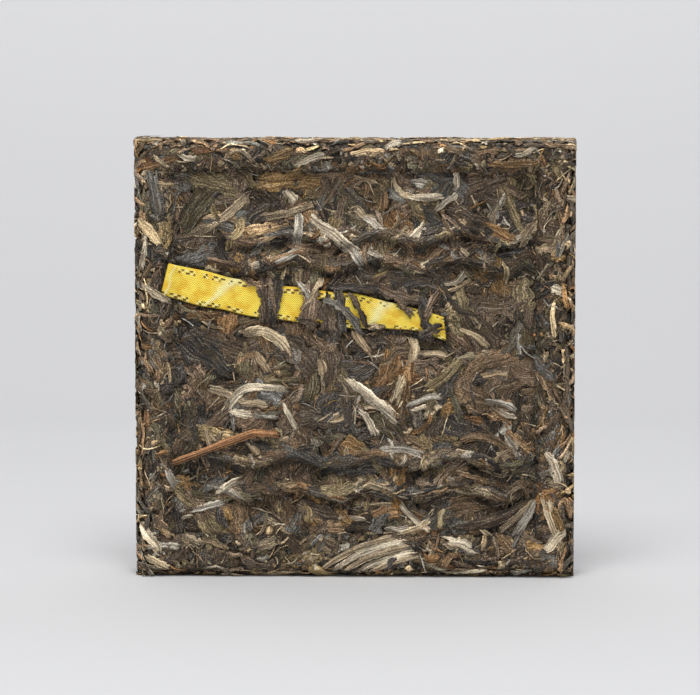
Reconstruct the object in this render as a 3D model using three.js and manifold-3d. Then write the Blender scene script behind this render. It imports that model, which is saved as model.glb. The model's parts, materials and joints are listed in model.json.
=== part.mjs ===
// A square brick of pressed pu erh tea with a woven ribbon pressed into its front.
// Millimetres, +Z up. The brick stands on edge as it is shown: its front faces -Y and
// the origin is the middle of the edge that it stands on.
import * as THREE from 'three';
import { mergeVertices } from 'three/addons/utils/BufferGeometryUtils.js';
import Module from 'manifold-3d';

// The brick
const side = 100;
const thickness = 14;
const leafProud = 0.6;
const backEdge = 1.0;
const shoulderWidth = 2.0;
const shoulderDepth = 2.6;
const rimLand = 5.2;
const rimSlope = 1.6;
const recessDepth = 1.8;
const recessRaised = 1.3;

// The soft waves that the mould presses into the recess, in two bands
const waveHeight = 1.1;
const waveWidth = 3.4;
const waveSwing = 1.3;
const waveLength = 19;
const waveReach = { from: -33, to: 39 };
const waveFade = 5;
const waveFlank = 1.2;
const waveHeights = [78.3, 72.3, 27.3, 19.8];
const waveSides = 6;
const waveStations = 26;

// The leaves that cover the packed tea, in rows over each face
const leafThickness = 0.8;
const leafThinnest = 0.7;
const leafThickest = 1.5;
const leafBow = 0.3;
const leafSunk = 0.5;
const leafSides = 4;
const leafTips = 0.35;
const stripFullness = 0.3;
const leafStations = 4;
const edgeSunk = 0.1;
const cellMargin = 0.15;
const edgeMargin = 2;
const edgeTurn = 0.35;
const frontRows = 9;
const backRows = 4;
const edgeRows = 8;
const frontLeaf = { shortest: 10, longest: 21, narrowest: 1.8, widest: 4 };
const backLeaf = { shortest: 14, longest: 24, narrowest: 2.4, widest: 4.6 };
const edgeLeaf = { shortest: 9, longest: 17, narrowest: 1.8, widest: 3.2 };

// The ribbon and the room that the tea leaves it
const ribbonWidth = 8;
const ribbonThickness = 0.4;
const ribbonLift = 0.55;
const ribbonRipple = 0.22;
const ribbonRippleLength = 17;
const ribbonGap = 0.3;
const ribbonStations = 44;
const ribbonSlant = 0.4;
const ribbonTipCurl = 0.7;
const ribbonCurlFrom = 0.9;
const ribbonCurlFoot = 0.2;
const ribbonStartRise = 1.4;
const ribbonStartReach = 4.5;
const ribbonRoute = [[-43.0, 68.2], [-33, 65.7], [-21.9, 63.5], [-12, 62.3], [-2, 61.2],
  [7, 60.1], [14.5, 58.8], [19.6, 56.7]];

// The twig that lies across the lower left
const twigWidth = 1.8;
const twigThickness = 1.1;
const twigSides = 6;
const twigStations = 10;
const twigRoute = [[-43.2, 25.4], [-21.5, 35.2], [-17.4, 32.8]];

// Leaves that stand out on the front: where each starts, passes and ends, and its width
const shownThickness = 1.04;
const shownStations = 5;
const shownTips = 0.6;
const shownLeaves = [
  { name: 'bud on the left rim', route: [[-47.2, 79], [-47.9, 74.1], [-48.8, 69.8]], width: 1.9 },
  { name: 'grey leaf at the upper left', route: [[-45.8, 93.4], [-44.7, 88.6], [-44, 81.8]], width: 2.9 },
  { name: 'leaf arched over a chip', route: [[-29.3, 94.8], [-26.2, 100.2], [-22.6, 94.4]], width: 0.9 },
  { name: 'orange chip', route: [[-36.8, 97.2], [-34.6, 97.6], [-32.2, 97.8]], width: 1.7 },
  { name: 'pale strip on the top rim', route: [[-13.6, 93.8], [-10.4, 95.7], [-6.4, 96.6]], width: 1.4 },
  { name: 'olive leaf', route: [[-38, 91.4], [-31.7, 89.2], [-24.6, 87.8]], width: 5 },
  { name: 'tan strip at the upper left', route: [[-38.4, 78], [-30, 80.4], [-24, 87.2]], width: 2.3 },
  { name: 'tan strip in the upper middle', route: [[-21.6, 82], [-14.6, 83], [-8.6, 85.2]], width: 1.7 },
  { name: 'upright bud', route: [[-13.3, 75.4], [-11.4, 79.6], [-9.7, 84.2]], width: 1.8 },
  { name: 'broad bud', route: [[-10.6, 82.6], [-2.4, 77.4], [1.8, 70.8]], width: 3 },
  { name: 'hooked bud', route: [[8.6, 93], [11.4, 82.6], [20, 87.6]], width: 1.7 },
  { name: 'olive strip at the upper right', route: [[33.4, 88.4], [36.6, 83.8], [38.6, 77.8]], width: 2.6 },
  { name: 'tan leaf on the right rim', route: [[37.4, 76.2], [40.4, 81.4], [45.4, 85.2]], width: 2.4 },
  { name: 'broad dark leaf', route: [[20.6, 84.2], [26, 82], [31, 79.2]], width: 3.8 },
  { name: 'red brown leaf', route: [[29.2, 80.8], [33.3, 78.2], [37.2, 76.8]], width: 2.2 },
  { name: 'stem on the top rim', route: [[30, 94.6], [36.4, 94.1], [42.4, 95]], width: 1.3 },
  { name: 'curved leaf under the ribbon', route: [[10.4, 57.2], [14.6, 54.4], [12.6, 49.2]], width: 1.7 },
  { name: 'curved tan leaf', route: [[-25.8, 56], [-19, 57], [-14.8, 51]], width: 1.6 },
  { name: 'pale leaf in the middle', route: [[-1.4, 43.8], [3.8, 39.2], [9.8, 35.4]], width: 2.5 },
  { name: 'long pale leaf', route: [[-29, 39], [-26.4, 45.4], [-15, 42.6]], width: 2.2 },
  { name: 'lower pale leaf', route: [[-27.8, 38.8], [-22.6, 36.4], [-16.4, 37.4]], width: 2.1 },
  { name: 'grey olive leaf', route: [[24, 50.4], [21.4, 45.8], [16.2, 43.2]], width: 2.4 },
  { name: 'arched brown leaf', route: [[24, 31.2], [30, 34.6], [36.8, 27.6]], width: 2 },
  { name: 'long brown leaf at the lower right', route: [[28, 10.6], [37.1, 13.4], [42.4, 17.8]], width: 2.5 },
  { name: 'broad pale bundle on the lower rim', route: [[-7.4, 2.2], [1, 8.4], [12.8, 9.2]], width: 4.2 },
  { name: 'grey bundle on the lower rim', route: [[3.2, 2], [9.2, 5.2], [14, 8.4]], width: 3 },
  { name: 'short upright leaf', route: [[4, 9.2], [5.4, 12], [7.2, 14.8]], width: 2.4 },
];

// Leaves that cross over the ribbon and hold it
const crossingLeaves = [
  { name: 'broad leaf over the ribbon', route: [[-19.7, 70.3], [-20.6, 63.2], [-19.2, 56.8]], width: 3 },
  { name: 'dark leaf over the ribbon', route: [[-9.6, 68.4], [-9.9, 61.8], [-8, 55]], width: 3.4 },
  { name: 'thin leaf over the ribbon', route: [[-1.2, 67.4], [-0.4, 60.8], [2.6, 54.8]], width: 1.3 },
  { name: 'leaf over the end of the ribbon', route: [[16, 65.4], [15.4, 59.2], [17, 53]], width: 2 },
];
const crossingClear = 0.35;
const crossingReach = 2.6;
const crossingSunk = 0.25;
const crossingRoot = 0.15;
const crossingStations = 12;

// Plain colours of the two materials
const teaFinish = { color: '#544636', roughness: 0.8 };
const ribbonFinish = { color: '#e2b83a', roughness: 0.6 };

// How near points of one solid may lie before they are one point
const samePoint = 1e-5;

// The limits of the packed tea, worked out from the sizes above
const half = side / 2 - leafProud;
const front = leafProud - thickness / 2;
const back = thickness / 2 - leafProud;
const coreHeight = side - leafProud;

const wasm = await Module();
wasm.setup();

// Numbers from 0 to 1 that come out the same each time
let seed = 20240611;
function random() {
  seed = (seed + 0x6d2b79f5) | 0;
  let mixed = Math.imul(seed ^ (seed >>> 15), 1 | seed);
  mixed = (mixed + Math.imul(mixed ^ (mixed >>> 7), 61 | mixed)) ^ mixed;
  return ((mixed ^ (mixed >>> 14)) >>> 0) / 2 ** 32;
}

function between(low, high) {
  return low + (high - low) * random();
}

function smooth(low, high, value) {
  const t = THREE.MathUtils.clamp((value - low) / (high - low), 0, 1);
  return t * t * (3 - 2 * t);
}

// A closed geometry as a solid that can be joined and cut
function toSolid(geometry) {
  geometry.deleteAttribute('normal');
  geometry.deleteAttribute('uv');
  const merged = mergeVertices(geometry, samePoint);
  return new wasm.Manifold(new wasm.Mesh({
    numProp: 3,
    vertProperties: new Float32Array(merged.attributes.position.array),
    triVerts: new Uint32Array(merged.index.array),
  }));
}

function toGeometry(solid) {
  const mesh = solid.getMesh();
  const geometry = new THREE.BufferGeometry();
  geometry.setAttribute('position', new THREE.BufferAttribute(mesh.vertProperties, 3));
  geometry.setIndex(new THREE.BufferAttribute(mesh.triVerts, 1));
  geometry.computeVertexNormals();
  return geometry;
}

// How far a point of the front lies inside the nearest edge
function inwardOf(x, z) {
  return Math.min(half - Math.abs(x), z, coreHeight - z);
}

// How far the front lies behind the rim at a point: the shoulder, the rim and the recess,
// which lies a little above the middle
function frontDepth(x, z) {
  const inward = inwardOf(x, z);
  if (inward < shoulderWidth) {
    return shoulderDepth * (1 - Math.max(inward, 0) / shoulderWidth);
  }
  const past = inwardOf(x, z - recessRaised) - shoulderWidth - rimLand;
  return recessDepth * THREE.MathUtils.clamp(past / rimSlope, 0, 1);
}

function waveLine(height, x) {
  return height + waveSwing * Math.sin((2 * Math.PI * x) / waveLength);
}

// How high the pressed waves stand at a point of the recess
function waveRise(x, z) {
  const opening = smooth(waveReach.from, waveReach.from + waveFade, x);
  const closing = 1 - smooth(waveReach.to - waveFade, waveReach.to, x);
  let rise = 0;
  for (const height of waveHeights) {
    const off = Math.abs(z - waveLine(height, x)) / (waveWidth / 2);
    rise = Math.max(rise, waveHeight * (1 - smooth(0, waveFlank, off)));
  }
  return rise * opening * closing;
}

// The faces of the brick: each turns a place on the face and a height over it into a point
const faces = {
  floor: (u, v, out) => new THREE.Vector3(u, front + frontDepth(u, v) - out, v),
  front: (u, v, out) => new THREE.Vector3(u, front + frontDepth(u, v) - waveRise(u, v) - out, v),
  back: (u, v, out) => new THREE.Vector3(u, back + out, v),
  left: (u, v, out) => new THREE.Vector3(-half - out, u, v),
  right: (u, v, out) => new THREE.Vector3(half + out, u, v),
  top: (u, v, out) => new THREE.Vector3(v, u, coreHeight + out),
};

// Where a ring of the sphere comes along the strip, from 0 to 1: the lower the number tips,
// the shorter the tapered ends
function alongStrip(latitude, tips) {
  return 0.5 - 0.5 * Math.sign(latitude) * Math.pow(Math.abs(latitude), tips);
}

// Widens the sphere's rings near its poles, so that the strip is wide up to its ends
function swellOf(latitude) {
  const ring = Math.sqrt(Math.max(0, 1 - latitude * latitude));
  return ring > 1e-6 ? Math.pow(ring, stripFullness) / ring : 0;
}

// A strip laid on a face along a route: a sphere drawn out to tapered ends, with a
// crown above the face and its underside sunk in the tea
function layStrip({ face, route, width, thick, sunk, sides, stations, tips, lift = () => 0 }) {
  const curve = new THREE.QuadraticBezierCurve(...route.map((point) => new THREE.Vector2(...point)));
  const geometry = new THREE.SphereGeometry(1, sides, stations);
  const position = geometry.attributes.position;
  const point = new THREE.Vector3();
  for (let i = 0; i < position.count; i += 1) {
    point.fromBufferAttribute(position, i);
    const along = alongStrip(point.y, tips);
    const swell = swellOf(point.y);
    const middle = curve.getPoint(along);
    const heading = curve.getTangent(along);
    const across = point.x * swell * (width / 2);
    const rise = point.z * swell;
    const out = lift(along) - edgeSunk + (rise > 0 ? rise * (thick + edgeSunk) : rise * (sunk - edgeSunk));
    const placed = face(middle.x - heading.y * across, middle.y + heading.x * across, out);
    position.setXYZ(i, placed.x, placed.y, placed.z);
  }
  return outward(toSolid(geometry), geometry);
}

// Some faces mirror the strip: its triangles are then turned round
function outward(solid, geometry) {
  if (solid.volume() > 0) {
    return solid;
  }
  const index = geometry.index.array;
  for (let i = 0; i < index.length; i += 3) {
    [index[i], index[i + 1]] = [index[i + 1], index[i]];
  }
  return toSolid(geometry);
}

// The packed tea under the leaves: a lathe of four sides, which makes square rings, with
// the first three, those of the recess, raised
function makeCore() {
  const landHalf = half - shoulderWidth - rimLand;
  const recessRings = 3;
  const rings = [
    [0, front + recessDepth],
    [landHalf - rimSlope, front + recessDepth],
    [landHalf, front],
    [half - shoulderWidth, front],
    [half, front + shoulderDepth],
    [half, back - backEdge],
    [half - backEdge, back],
    [0, back],
  ];
  const profile = rings.map(([reach, y]) => new THREE.Vector2(reach * Math.SQRT2, y));
  const geometry = new THREE.LatheGeometry(profile, 4, Math.PI / 4);
  geometry.scale(1, 1, coreHeight / 2 / half);
  geometry.translate(0, 0, coreHeight / 2);
  const position = geometry.attributes.position;
  for (let i = 0; i < position.count; i += 1) {
    if (i % rings.length < recessRings) {
      position.setZ(i, position.getZ(i) + recessRaised);
    }
  }
  return outward(toSolid(geometry), geometry);
}

// One ridge of the pressed waves, along a sine line
function makeWave(height) {
  const geometry = new THREE.SphereGeometry(1, waveSides, waveStations);
  const position = geometry.attributes.position;
  const point = new THREE.Vector3();
  for (let i = 0; i < position.count; i += 1) {
    point.fromBufferAttribute(position, i);
    const along = alongStrip(point.y, 1);
    const swell = swellOf(point.y);
    const x = THREE.MathUtils.lerp(waveReach.from, waveReach.to, along);
    const z = waveLine(height, x) + point.x * swell * (waveWidth / 2);
    const placed = faces.floor(x, z, point.z * swell * waveHeight);
    position.setXYZ(i, placed.x, placed.y, placed.z);
  }
  return outward(toSolid(geometry), geometry);
}

// A leaf at a random turn about a place on a face
function makeLeaf(face, u, v, size, turn) {
  const length = between(size.shortest, size.longest);
  const width = between(size.narrowest, size.widest);
  const bow = between(-leafBow, leafBow) * length;
  const reach = new THREE.Vector2(length / 2, 0).rotateAround(new THREE.Vector2(), turn);
  const aside = new THREE.Vector2(0, bow).rotateAround(new THREE.Vector2(), turn);
  return layStrip({
    face,
    route: [[u - reach.x, v - reach.y], [u + aside.x, v + aside.y], [u + reach.x, v + reach.y]],
    width,
    thick: leafThickness * between(leafThinnest, leafThickest),
    sunk: leafSunk,
    sides: leafSides,
    stations: leafStations,
    tips: leafTips,
  });
}

// Leaves over a face, one in each cell of a grid, so that they spread evenly
function scatterLeaves(face, columns, rows, area, size, turnOf) {
  const leaves = [];
  const cellU = (area.right - area.left) / columns;
  const cellV = (area.top - area.bottom) / rows;
  for (let column = 0; column < columns; column += 1) {
    for (let row = 0; row < rows; row += 1) {
      const u = area.left + (column + between(cellMargin, 1 - cellMargin)) * cellU;
      const v = area.bottom + (row + between(cellMargin, 1 - cellMargin)) * cellV;
      leaves.push(makeLeaf(face, u, v, size, turnOf()));
    }
  }
  return leaves;
}

function makeScatteredLeaves() {
  const anyTurn = () => between(0, Math.PI);
  const nearlyAlong = () => Math.PI / 2 + between(-edgeTurn, edgeTurn);
  const wide = { left: -half, right: half, bottom: 0, top: coreHeight };
  const deep = { left: front + shoulderDepth, right: back - backEdge };
  const edge = { ...deep, bottom: edgeMargin, top: coreHeight - edgeMargin };
  const topEdge = { ...deep, bottom: edgeMargin - half, top: half - edgeMargin };
  return [
    ...scatterLeaves(faces.front, frontRows, frontRows, wide, frontLeaf, anyTurn),
    ...scatterLeaves(faces.back, backRows, backRows, wide, backLeaf, anyTurn),
    ...scatterLeaves(faces.left, 1, edgeRows, edge, edgeLeaf, nearlyAlong),
    ...scatterLeaves(faces.right, 1, edgeRows, edge, edgeLeaf, nearlyAlong),
    ...scatterLeaves(faces.top, 1, edgeRows, topEdge, edgeLeaf, nearlyAlong),
  ];
}

function makeShownLeaves() {
  return shownLeaves.map(({ route, width }) => layStrip({
    face: faces.front,
    route,
    width,
    thick: shownThickness,
    sunk: leafSunk,
    sides: leafSides,
    stations: shownStations,
    tips: shownTips,
  }));
}

function makeTwig() {
  return layStrip({
    face: faces.front,
    route: twigRoute,
    width: twigWidth,
    thick: twigThickness,
    sunk: leafSunk,
    sides: twigSides,
    stations: twigStations,
    tips: shownTips,
  });
}

// Leaves that rise over the ribbon and go back into the tea on both sides of it
function makeCrossingLeaves() {
  const overRibbon = ribbonLift + ribbonRipple + ribbonThickness / 2 + crossingClear;
  return crossingLeaves.map(({ route, width }) => layStrip({
    face: faces.floor,
    route,
    width,
    thick: leafThickness,
    sunk: crossingSunk,
    sides: leafSides,
    stations: crossingStations,
    tips: shownTips,
    lift: (along) => {
      const off = Math.abs(along - 0.5) * (route[0][1] - route[2][1]);
      const hold = ribbonWidth / 2 + crossingClear;
      return (overRibbon + crossingSunk) * (1 - smooth(hold, hold + crossingReach, off)) - crossingRoot;
    },
  }));
}

// The ribbon as a bent box: grown on every side it is the room that the tea leaves it
function makeRibbon(grow, frontReach) {
  const curve = new THREE.CatmullRomCurve3(ribbonRoute.map(([x, z]) => new THREE.Vector3(x, 0, z)));
  const length = curve.getLength();
  const geometry = new THREE.BoxGeometry(1, 1, 1, ribbonStations, 1, 3);
  const position = geometry.attributes.position;
  for (let i = 0; i < position.count; i += 1) {
    const along = position.getX(i) + 0.5;
    const outer = position.getY(i) < 0;
    const distance = along * (length + 2 * grow) - grow;
    const within = THREE.MathUtils.clamp(distance, 0, length);
    const past = distance - within;
    const middle = curve.getPointAt(within / length);
    const heading = curve.getTangentAt(within / length);
    const across = position.getZ(i) * (ribbonWidth + 2 * grow);
    const x = middle.x + heading.x * past - heading.z * across;
    const z = middle.z + heading.z * past + heading.x * across;
    const phase = (2 * Math.PI * (distance + ribbonSlant * across)) / ribbonRippleLength;
    const ripple = ribbonRipple * Math.sin(phase);
    const curl = ribbonTipCurl * smooth(ribbonCurlFrom, 1, along)
      * Math.max(across / ribbonWidth + ribbonCurlFoot, 0);
    const start = ribbonStartRise * (1 - smooth(0, ribbonStartReach, distance));
    const shell = outer ? ribbonThickness / 2 + grow + frontReach : -ribbonThickness / 2 - grow;
    const out = ribbonLift + ripple + curl + start + shell;
    position.setXYZ(i, x, front + recessDepth - out, z);
  }
  return outward(toSolid(geometry), geometry);
}

// The tea is one solid: what fusing cuts loose or seals in is left out
function makeBrick() {
  const packed = wasm.Manifold.union([
    makeCore(),
    ...waveHeights.map(makeWave),
    ...makeScatteredLeaves(),
    ...makeShownLeaves(),
    makeTwig(),
  ]);
  const box = new THREE.BoxGeometry(side, thickness, side);
  box.translate(0, 0, side / 2);
  const held = packed.subtract(makeRibbon(ribbonGap, thickness));
  const bound = wasm.Manifold.union([held, ...makeCrossingLeaves()]).subtract(makeRibbon(ribbonGap, 0));
  const trimmed = bound.intersect(toSolid(box));
  const pieces = trimmed.decompose().sort((a, b) => b.volume() - a.volume());
  return pieces[0];
}

function makeMesh(name, solid, finish) {
  const material = new THREE.MeshStandardMaterial({ ...finish, metalness: 0 });
  const mesh = new THREE.Mesh(toGeometry(solid), material);
  mesh.name = name;
  return mesh;
}

const brick = new THREE.Group();
brick.add(makeMesh('brick', makeBrick(), teaFinish));
brick.add(makeMesh('ribbon', makeRibbon(0, 0), ribbonFinish));

export default brick;
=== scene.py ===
"""A square brick of pressed pu erh tea with a woven ribbon pressed into its front.

The brick is a heap of dry leaves pressed into one block. Here it is a dark packed core
with joined-mesh leaves laid over it: torn blades, twisted strips, shreds, fibres, pale
buds, crumbs and a twig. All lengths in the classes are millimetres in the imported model's frame,
and they become metres when a mesh is made. The front faces -Y and +Z is up.
"""

import json
import logging
import math
from collections.abc import Callable
from dataclasses import dataclass, replace
from enum import Enum

import bpy
import numpy as np
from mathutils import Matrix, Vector

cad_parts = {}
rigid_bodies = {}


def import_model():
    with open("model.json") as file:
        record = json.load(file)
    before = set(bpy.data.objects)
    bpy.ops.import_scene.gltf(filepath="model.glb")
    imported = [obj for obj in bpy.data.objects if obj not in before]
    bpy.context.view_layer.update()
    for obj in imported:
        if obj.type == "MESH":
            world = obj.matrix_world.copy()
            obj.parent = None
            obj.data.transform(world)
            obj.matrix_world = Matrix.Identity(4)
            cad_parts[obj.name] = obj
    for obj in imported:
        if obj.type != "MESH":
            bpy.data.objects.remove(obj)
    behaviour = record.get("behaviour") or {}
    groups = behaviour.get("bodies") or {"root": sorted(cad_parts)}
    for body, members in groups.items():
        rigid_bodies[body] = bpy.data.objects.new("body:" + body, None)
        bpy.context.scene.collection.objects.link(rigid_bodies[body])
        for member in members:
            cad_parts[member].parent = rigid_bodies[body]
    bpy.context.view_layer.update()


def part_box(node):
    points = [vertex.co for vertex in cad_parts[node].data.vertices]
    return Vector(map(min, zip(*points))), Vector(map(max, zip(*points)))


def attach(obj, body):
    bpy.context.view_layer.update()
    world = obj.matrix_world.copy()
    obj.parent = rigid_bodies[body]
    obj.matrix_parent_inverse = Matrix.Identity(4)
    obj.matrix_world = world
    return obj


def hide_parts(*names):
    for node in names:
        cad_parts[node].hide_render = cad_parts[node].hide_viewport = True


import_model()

MM = 0.001
BODY = "root"
ATLAS_UV = "OFBake"
GRAIN_UV = "Grain"
# The colour attribute: each leaf's tint with its painted shade and light multiplied in, and on the ribbon the
# mask of its painted sheen.
TINT_AND_LIGHT = "tint_and_painted_light"
log = logging.getLogger("tea_brick")

Color = tuple[float, float, float, float]
Value = "Socket | float"


class Tint(Enum):
    """Colours of dry leaves, stems and buds, as 8-bit sRGB."""

    COAL = (62, 58, 54)
    SLATE = (97, 94, 88)
    PEAT = (80, 68, 57)
    BARK = (104, 88, 72)
    UMBER = (120, 98, 74)
    MOSS = (96, 89, 70)
    OLIVE = (122, 108, 80)
    AMBER = (130, 103, 66)
    RUST = (116, 87, 56)
    BRICK_RED = (124, 89, 60)
    TAN = (150, 133, 108)
    STRAW = (166, 149, 120)
    SILVER = (152, 145, 132)
    CREAM = (184, 171, 148)

    def linear(self) -> np.ndarray:
        """Return the colour as linear red, green and blue."""
        return to_linear(np.array(self.value, dtype=float) / 255.0)


COAL, SLATE, PEAT, BARK, UMBER, MOSS, OLIVE, AMBER, RUST, BRICK_RED, TAN, STRAW, SILVER, CREAM = Tint


class Side(Enum):
    """The sides of the brick, with the front's recess and rim apart."""

    FRONT = "front"
    RIM = "rim"
    BACK = "back"
    LEFT = "left"
    RIGHT = "right"
    TOP = "top"
    BOTTOM = "bottom"


def to_linear(srgb: np.ndarray) -> np.ndarray:
    """Turn sRGB from 0 to 1 into linear light.

    Args:
        srgb: Values on the sRGB curve.

    Returns:
        The same values in linear light.
    """
    return np.where(srgb <= 0.04045, srgb / 12.92, ((srgb + 0.055) / 1.055) ** 2.4)


def smooth(low: float, high: float, value: np.ndarray) -> np.ndarray:
    """Rise from 0 to 1 between two values, as 3t squared less 2t cubed.

    Args:
        low: Where the rise starts.
        high: Where it ends.
        value: Where it is asked for.

    Returns:
        The rise, from 0 to 1.
    """
    t = np.clip((value - low) / (high - low), 0.0, 1.0)
    return t * t * (3.0 - 2.0 * t)


def sine(turns: np.ndarray) -> np.ndarray:
    """Return the sine of a number of whole turns."""
    return np.sin(2 * math.pi * turns)


# Soft light and dark patches of the front: the place as x and z, the reach and how much lighter.
PATCHES = (
    (-19.0, 22.5, 9.0, -0.24), (34.0, 21.0, 7.0, -0.24), (-34.0, 54.5, 6.5, -0.24), (29.0, 55.5, 8.5, -0.18),
    (29.0, 85.0, 9.0, -0.12), (-12.0, 28.0, 8.0, -0.16), (-30.0, 88.0, 8.0, -0.16), (15.0, 45.0, 6.0, 0.34),
    (-14.0, 74.0, 10.0, 0.14), (-15.0, 6.0, 10.0, 0.34), (15.0, 6.5, 6.0, 0.34), (-44.0, 55.0, 6.0, 0.2),
    (0.0, 56.0, 10.0, 0.12), (34.0, 35.5, 6.0, -0.3), (33.0, 15.0, 8.0, -0.24), (15.0, 35.0, 5.0, -0.26),
    (-5.0, 86.0, 6.0, -0.18), (-18.0, 85.0, 6.0, -0.16), (-4.0, 67.0, 7.0, 0.2), (-20.0, 14.0, 7.0, -0.14),
    (-24.0, 45.0, 6.0, -0.12), (-24.0, 74.0, 5.0, -0.12), (-44.0, 93.0, 6.0, -0.12), (5.0, 93.0, 6.0, -0.14),
    (25.0, 85.0, 5.0, -0.1), (-36.0, 36.0, 5.0, -0.08), (33.0, 60.0, 6.0, -0.06), (3.0, 46.0, 5.0, -0.1),
    (0.0, 75.0, 8.0, 0.16), (14.0, 65.0, 6.0, 0.16), (-7.0, 64.0, 5.0, 0.1),
)


@dataclass(frozen=True)
class BrickForm:
    """The pressed form that the leaves follow: outline, shoulder, rim, recess and waves."""

    side: float
    thickness: float
    proud: float = 0.6
    shoulder_width: float = 2.0
    shoulder_depth: float = 2.6
    rim_land: float = 5.2
    rim_slope: float = 1.6
    recess: float = 1.8
    recess_raised: float = 1.3
    # Painted highlight along the recess's right slope.
    slope_painted_highlight: float = 0.34
    back_edge: float = 1.0
    wave_height: float = 1.65
    wave_width: float = 3.6
    wave_swing: float = 1.3
    wave_length: float = 19.0
    wave_from: float = -33.0
    wave_to: float = 39.0
    wave_fade: float = 5.0
    wave_lines: tuple[float, ...] = (78.3, 72.3, 27.3, 19.8)
    swell_height: float = 0.12
    mood_wave: float = 0.06
    # Painted shade along the rim's top and brow, and pale dust with painted light along its outer edge.
    top_painted_shade: float = 0.27
    brow_painted_shade: float = 0.14
    rim_dust_and_light: float = 0.24
    right_light: float = 0.02
    recess_dive: float = 1.1
    rim_sink: float = 0.45

    @property
    def half(self) -> float:
        """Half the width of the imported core."""
        return self.side / 2 - self.proud

    @property
    def height(self) -> float:
        """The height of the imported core."""
        return self.side - self.proud

    @property
    def front(self) -> float:
        """Where the rim's flat land lies along Y."""
        return self.proud - self.thickness / 2

    @property
    def back(self) -> float:
        """Where the back lies along Y."""
        return self.thickness / 2 - self.proud

    def inward(self, x: np.ndarray, z: np.ndarray) -> np.ndarray:
        """Return how far a point of the front lies inside the nearest edge."""
        return np.minimum(self.half - np.abs(x), np.minimum(z, self.height - z))

    def rim_inward(self, x: np.ndarray, z: np.ndarray) -> np.ndarray:
        """Return the same for the recess, which lies a little above the middle of the front."""
        return self.inward(x, z - self.recess_raised)

    def front_depth(self, x: np.ndarray, z: np.ndarray) -> np.ndarray:
        """Return how far the mould's face lies behind the rim's land.

        It is a slope over the shoulder, nothing on the rim, and a slope down to the
        flat floor of the recess.

        Args:
            x: Places across the front.
            z: Places up the front.

        Returns:
            The depth at each place.
        """
        inward = self.inward(x, z)
        shoulder = self.shoulder_depth * (1 - np.clip(inward, 0, self.shoulder_width) / self.shoulder_width)
        past = (self.rim_inward(x, z) - self.rim_end) / self.rim_slope
        return shoulder + self.recess * smooth(0.0, 1.0, past)

    def wave_line(self, height: float | np.ndarray, x: np.ndarray) -> np.ndarray:
        """Return the height of one pressed wave across the front: a sine line."""
        return height + self.wave_swing * np.sin(2 * math.pi * x / self.wave_length)

    def wave_rise(self, x: np.ndarray, z: np.ndarray) -> np.ndarray:
        """Work out the pressed waves: a soft crest about each sine line, with slow lumps.

        Args:
            x: Places across the front.
            z: Places up the front.

        Returns:
            How high they stand at each place.
        """
        ends = smooth(self.wave_from, self.wave_from + self.wave_fade, x)
        ends = ends * (1 - smooth(self.wave_to - self.wave_fade, self.wave_to, x))
        rise = np.zeros(np.broadcast(x, z).shape)
        for height in self.wave_lines:
            off = np.abs(z - self.wave_line(height, x)) / (self.wave_width / 2)
            lumps = 0.78 + 0.22 * np.sin(0.9 * x + height) * np.sin(0.37 * x + 2 * height)
            rise = np.maximum(rise, self.wave_height * lumps * (1 - smooth(0.35, 1.1, off)))
        return rise * ends

    def swell(self, a: np.ndarray, b: np.ndarray) -> np.ndarray:
        """Return the slow unevenness of a pressed face: a sum of crossed sines."""
        rolls = np.sin(0.31 * a + 1.3) * np.sin(0.27 * b + 0.4)
        rolls = rolls + 0.7 * np.sin(0.19 * a - 0.44 * b + 2.1) + 0.6 * np.sin(0.61 * a + 0.5 * b)
        return self.swell_height * rolls

    def mood(self, p: np.ndarray, q: np.ndarray) -> np.ndarray:
        """Work out how light the tea is: soft patches, each a bell, two small sines and a painted highlight
        along the recess's right slope.

        Args:
            p: Places across the front.
            q: Places up the front.

        Returns:
            A factor at each place.
        """
        light = 1 + self.mood_wave * np.sin(0.41 * p - 0.33 * q + 0.6)
        light = light + self.mood_wave * np.sin(0.7 * p + 0.52 * q)
        # Painted highlight: the leaves on the recess's right slope are made lighter, as if lit.
        light = light + self.slope_painted_highlight * np.exp(-(((p - self.half + self.rim_end - 0.7) / 1.6) ** 2))
        for across, height, reach, amount in PATCHES:
            light = light + amount * np.exp(-(((p - across) ** 2 + (q - height) ** 2) / reach**2))
        return light

    def rim_mood(self, p: np.ndarray, q: np.ndarray) -> np.ndarray:
        """Work out how light the rim is: lighter at its outer edge, from pale dust and painted light, and
        darker along its top and brow, a painted shade.

        Args:
            p: Places across the front.
            q: Places up the front.

        Returns:
            A factor at each place.
        """
        dust_and_light = 1 - smooth(1.2, 3.6, np.minimum(self.half - np.abs(p), q))
        top = smooth(self.height - self.rim_end, self.height - self.rim_end + 2.0, q)
        brow = smooth(self.height - 4.0, self.height - 2.5, q)
        right = smooth(self.half - self.rim_end - 1.0, self.half - self.rim_end + 1.0, p)
        # Painted shade along the rim's top and brow; pale dust and painted light along its outer edge.
        dark = (1 - self.top_painted_shade * top) * (1 - self.brow_painted_shade * brow)
        return dark * (1 + self.rim_dust_and_light * dust_and_light * (1 - top)) * (1 + self.right_light * right)

    def painted_wave_shade(self, p: np.ndarray, q: np.ndarray) -> np.ndarray:
        """Work out the painted shade just under each pressed wave: a bell about a line below it.

        Args:
            p: Places across the front.
            q: Places up the front.

        Returns:
            How dark it is, from 0 to 1.
        """
        shade = np.zeros(np.broadcast(p, q).shape)
        for height in self.wave_lines:
            off = (q - self.wave_line(height, p) + 0.62 * self.wave_width) / (0.3 * self.wave_width)
            shade = np.maximum(shade, np.exp(-(off**2)))
        return shade * smooth(self.wave_from, self.wave_from + self.wave_fade, p)

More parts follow.
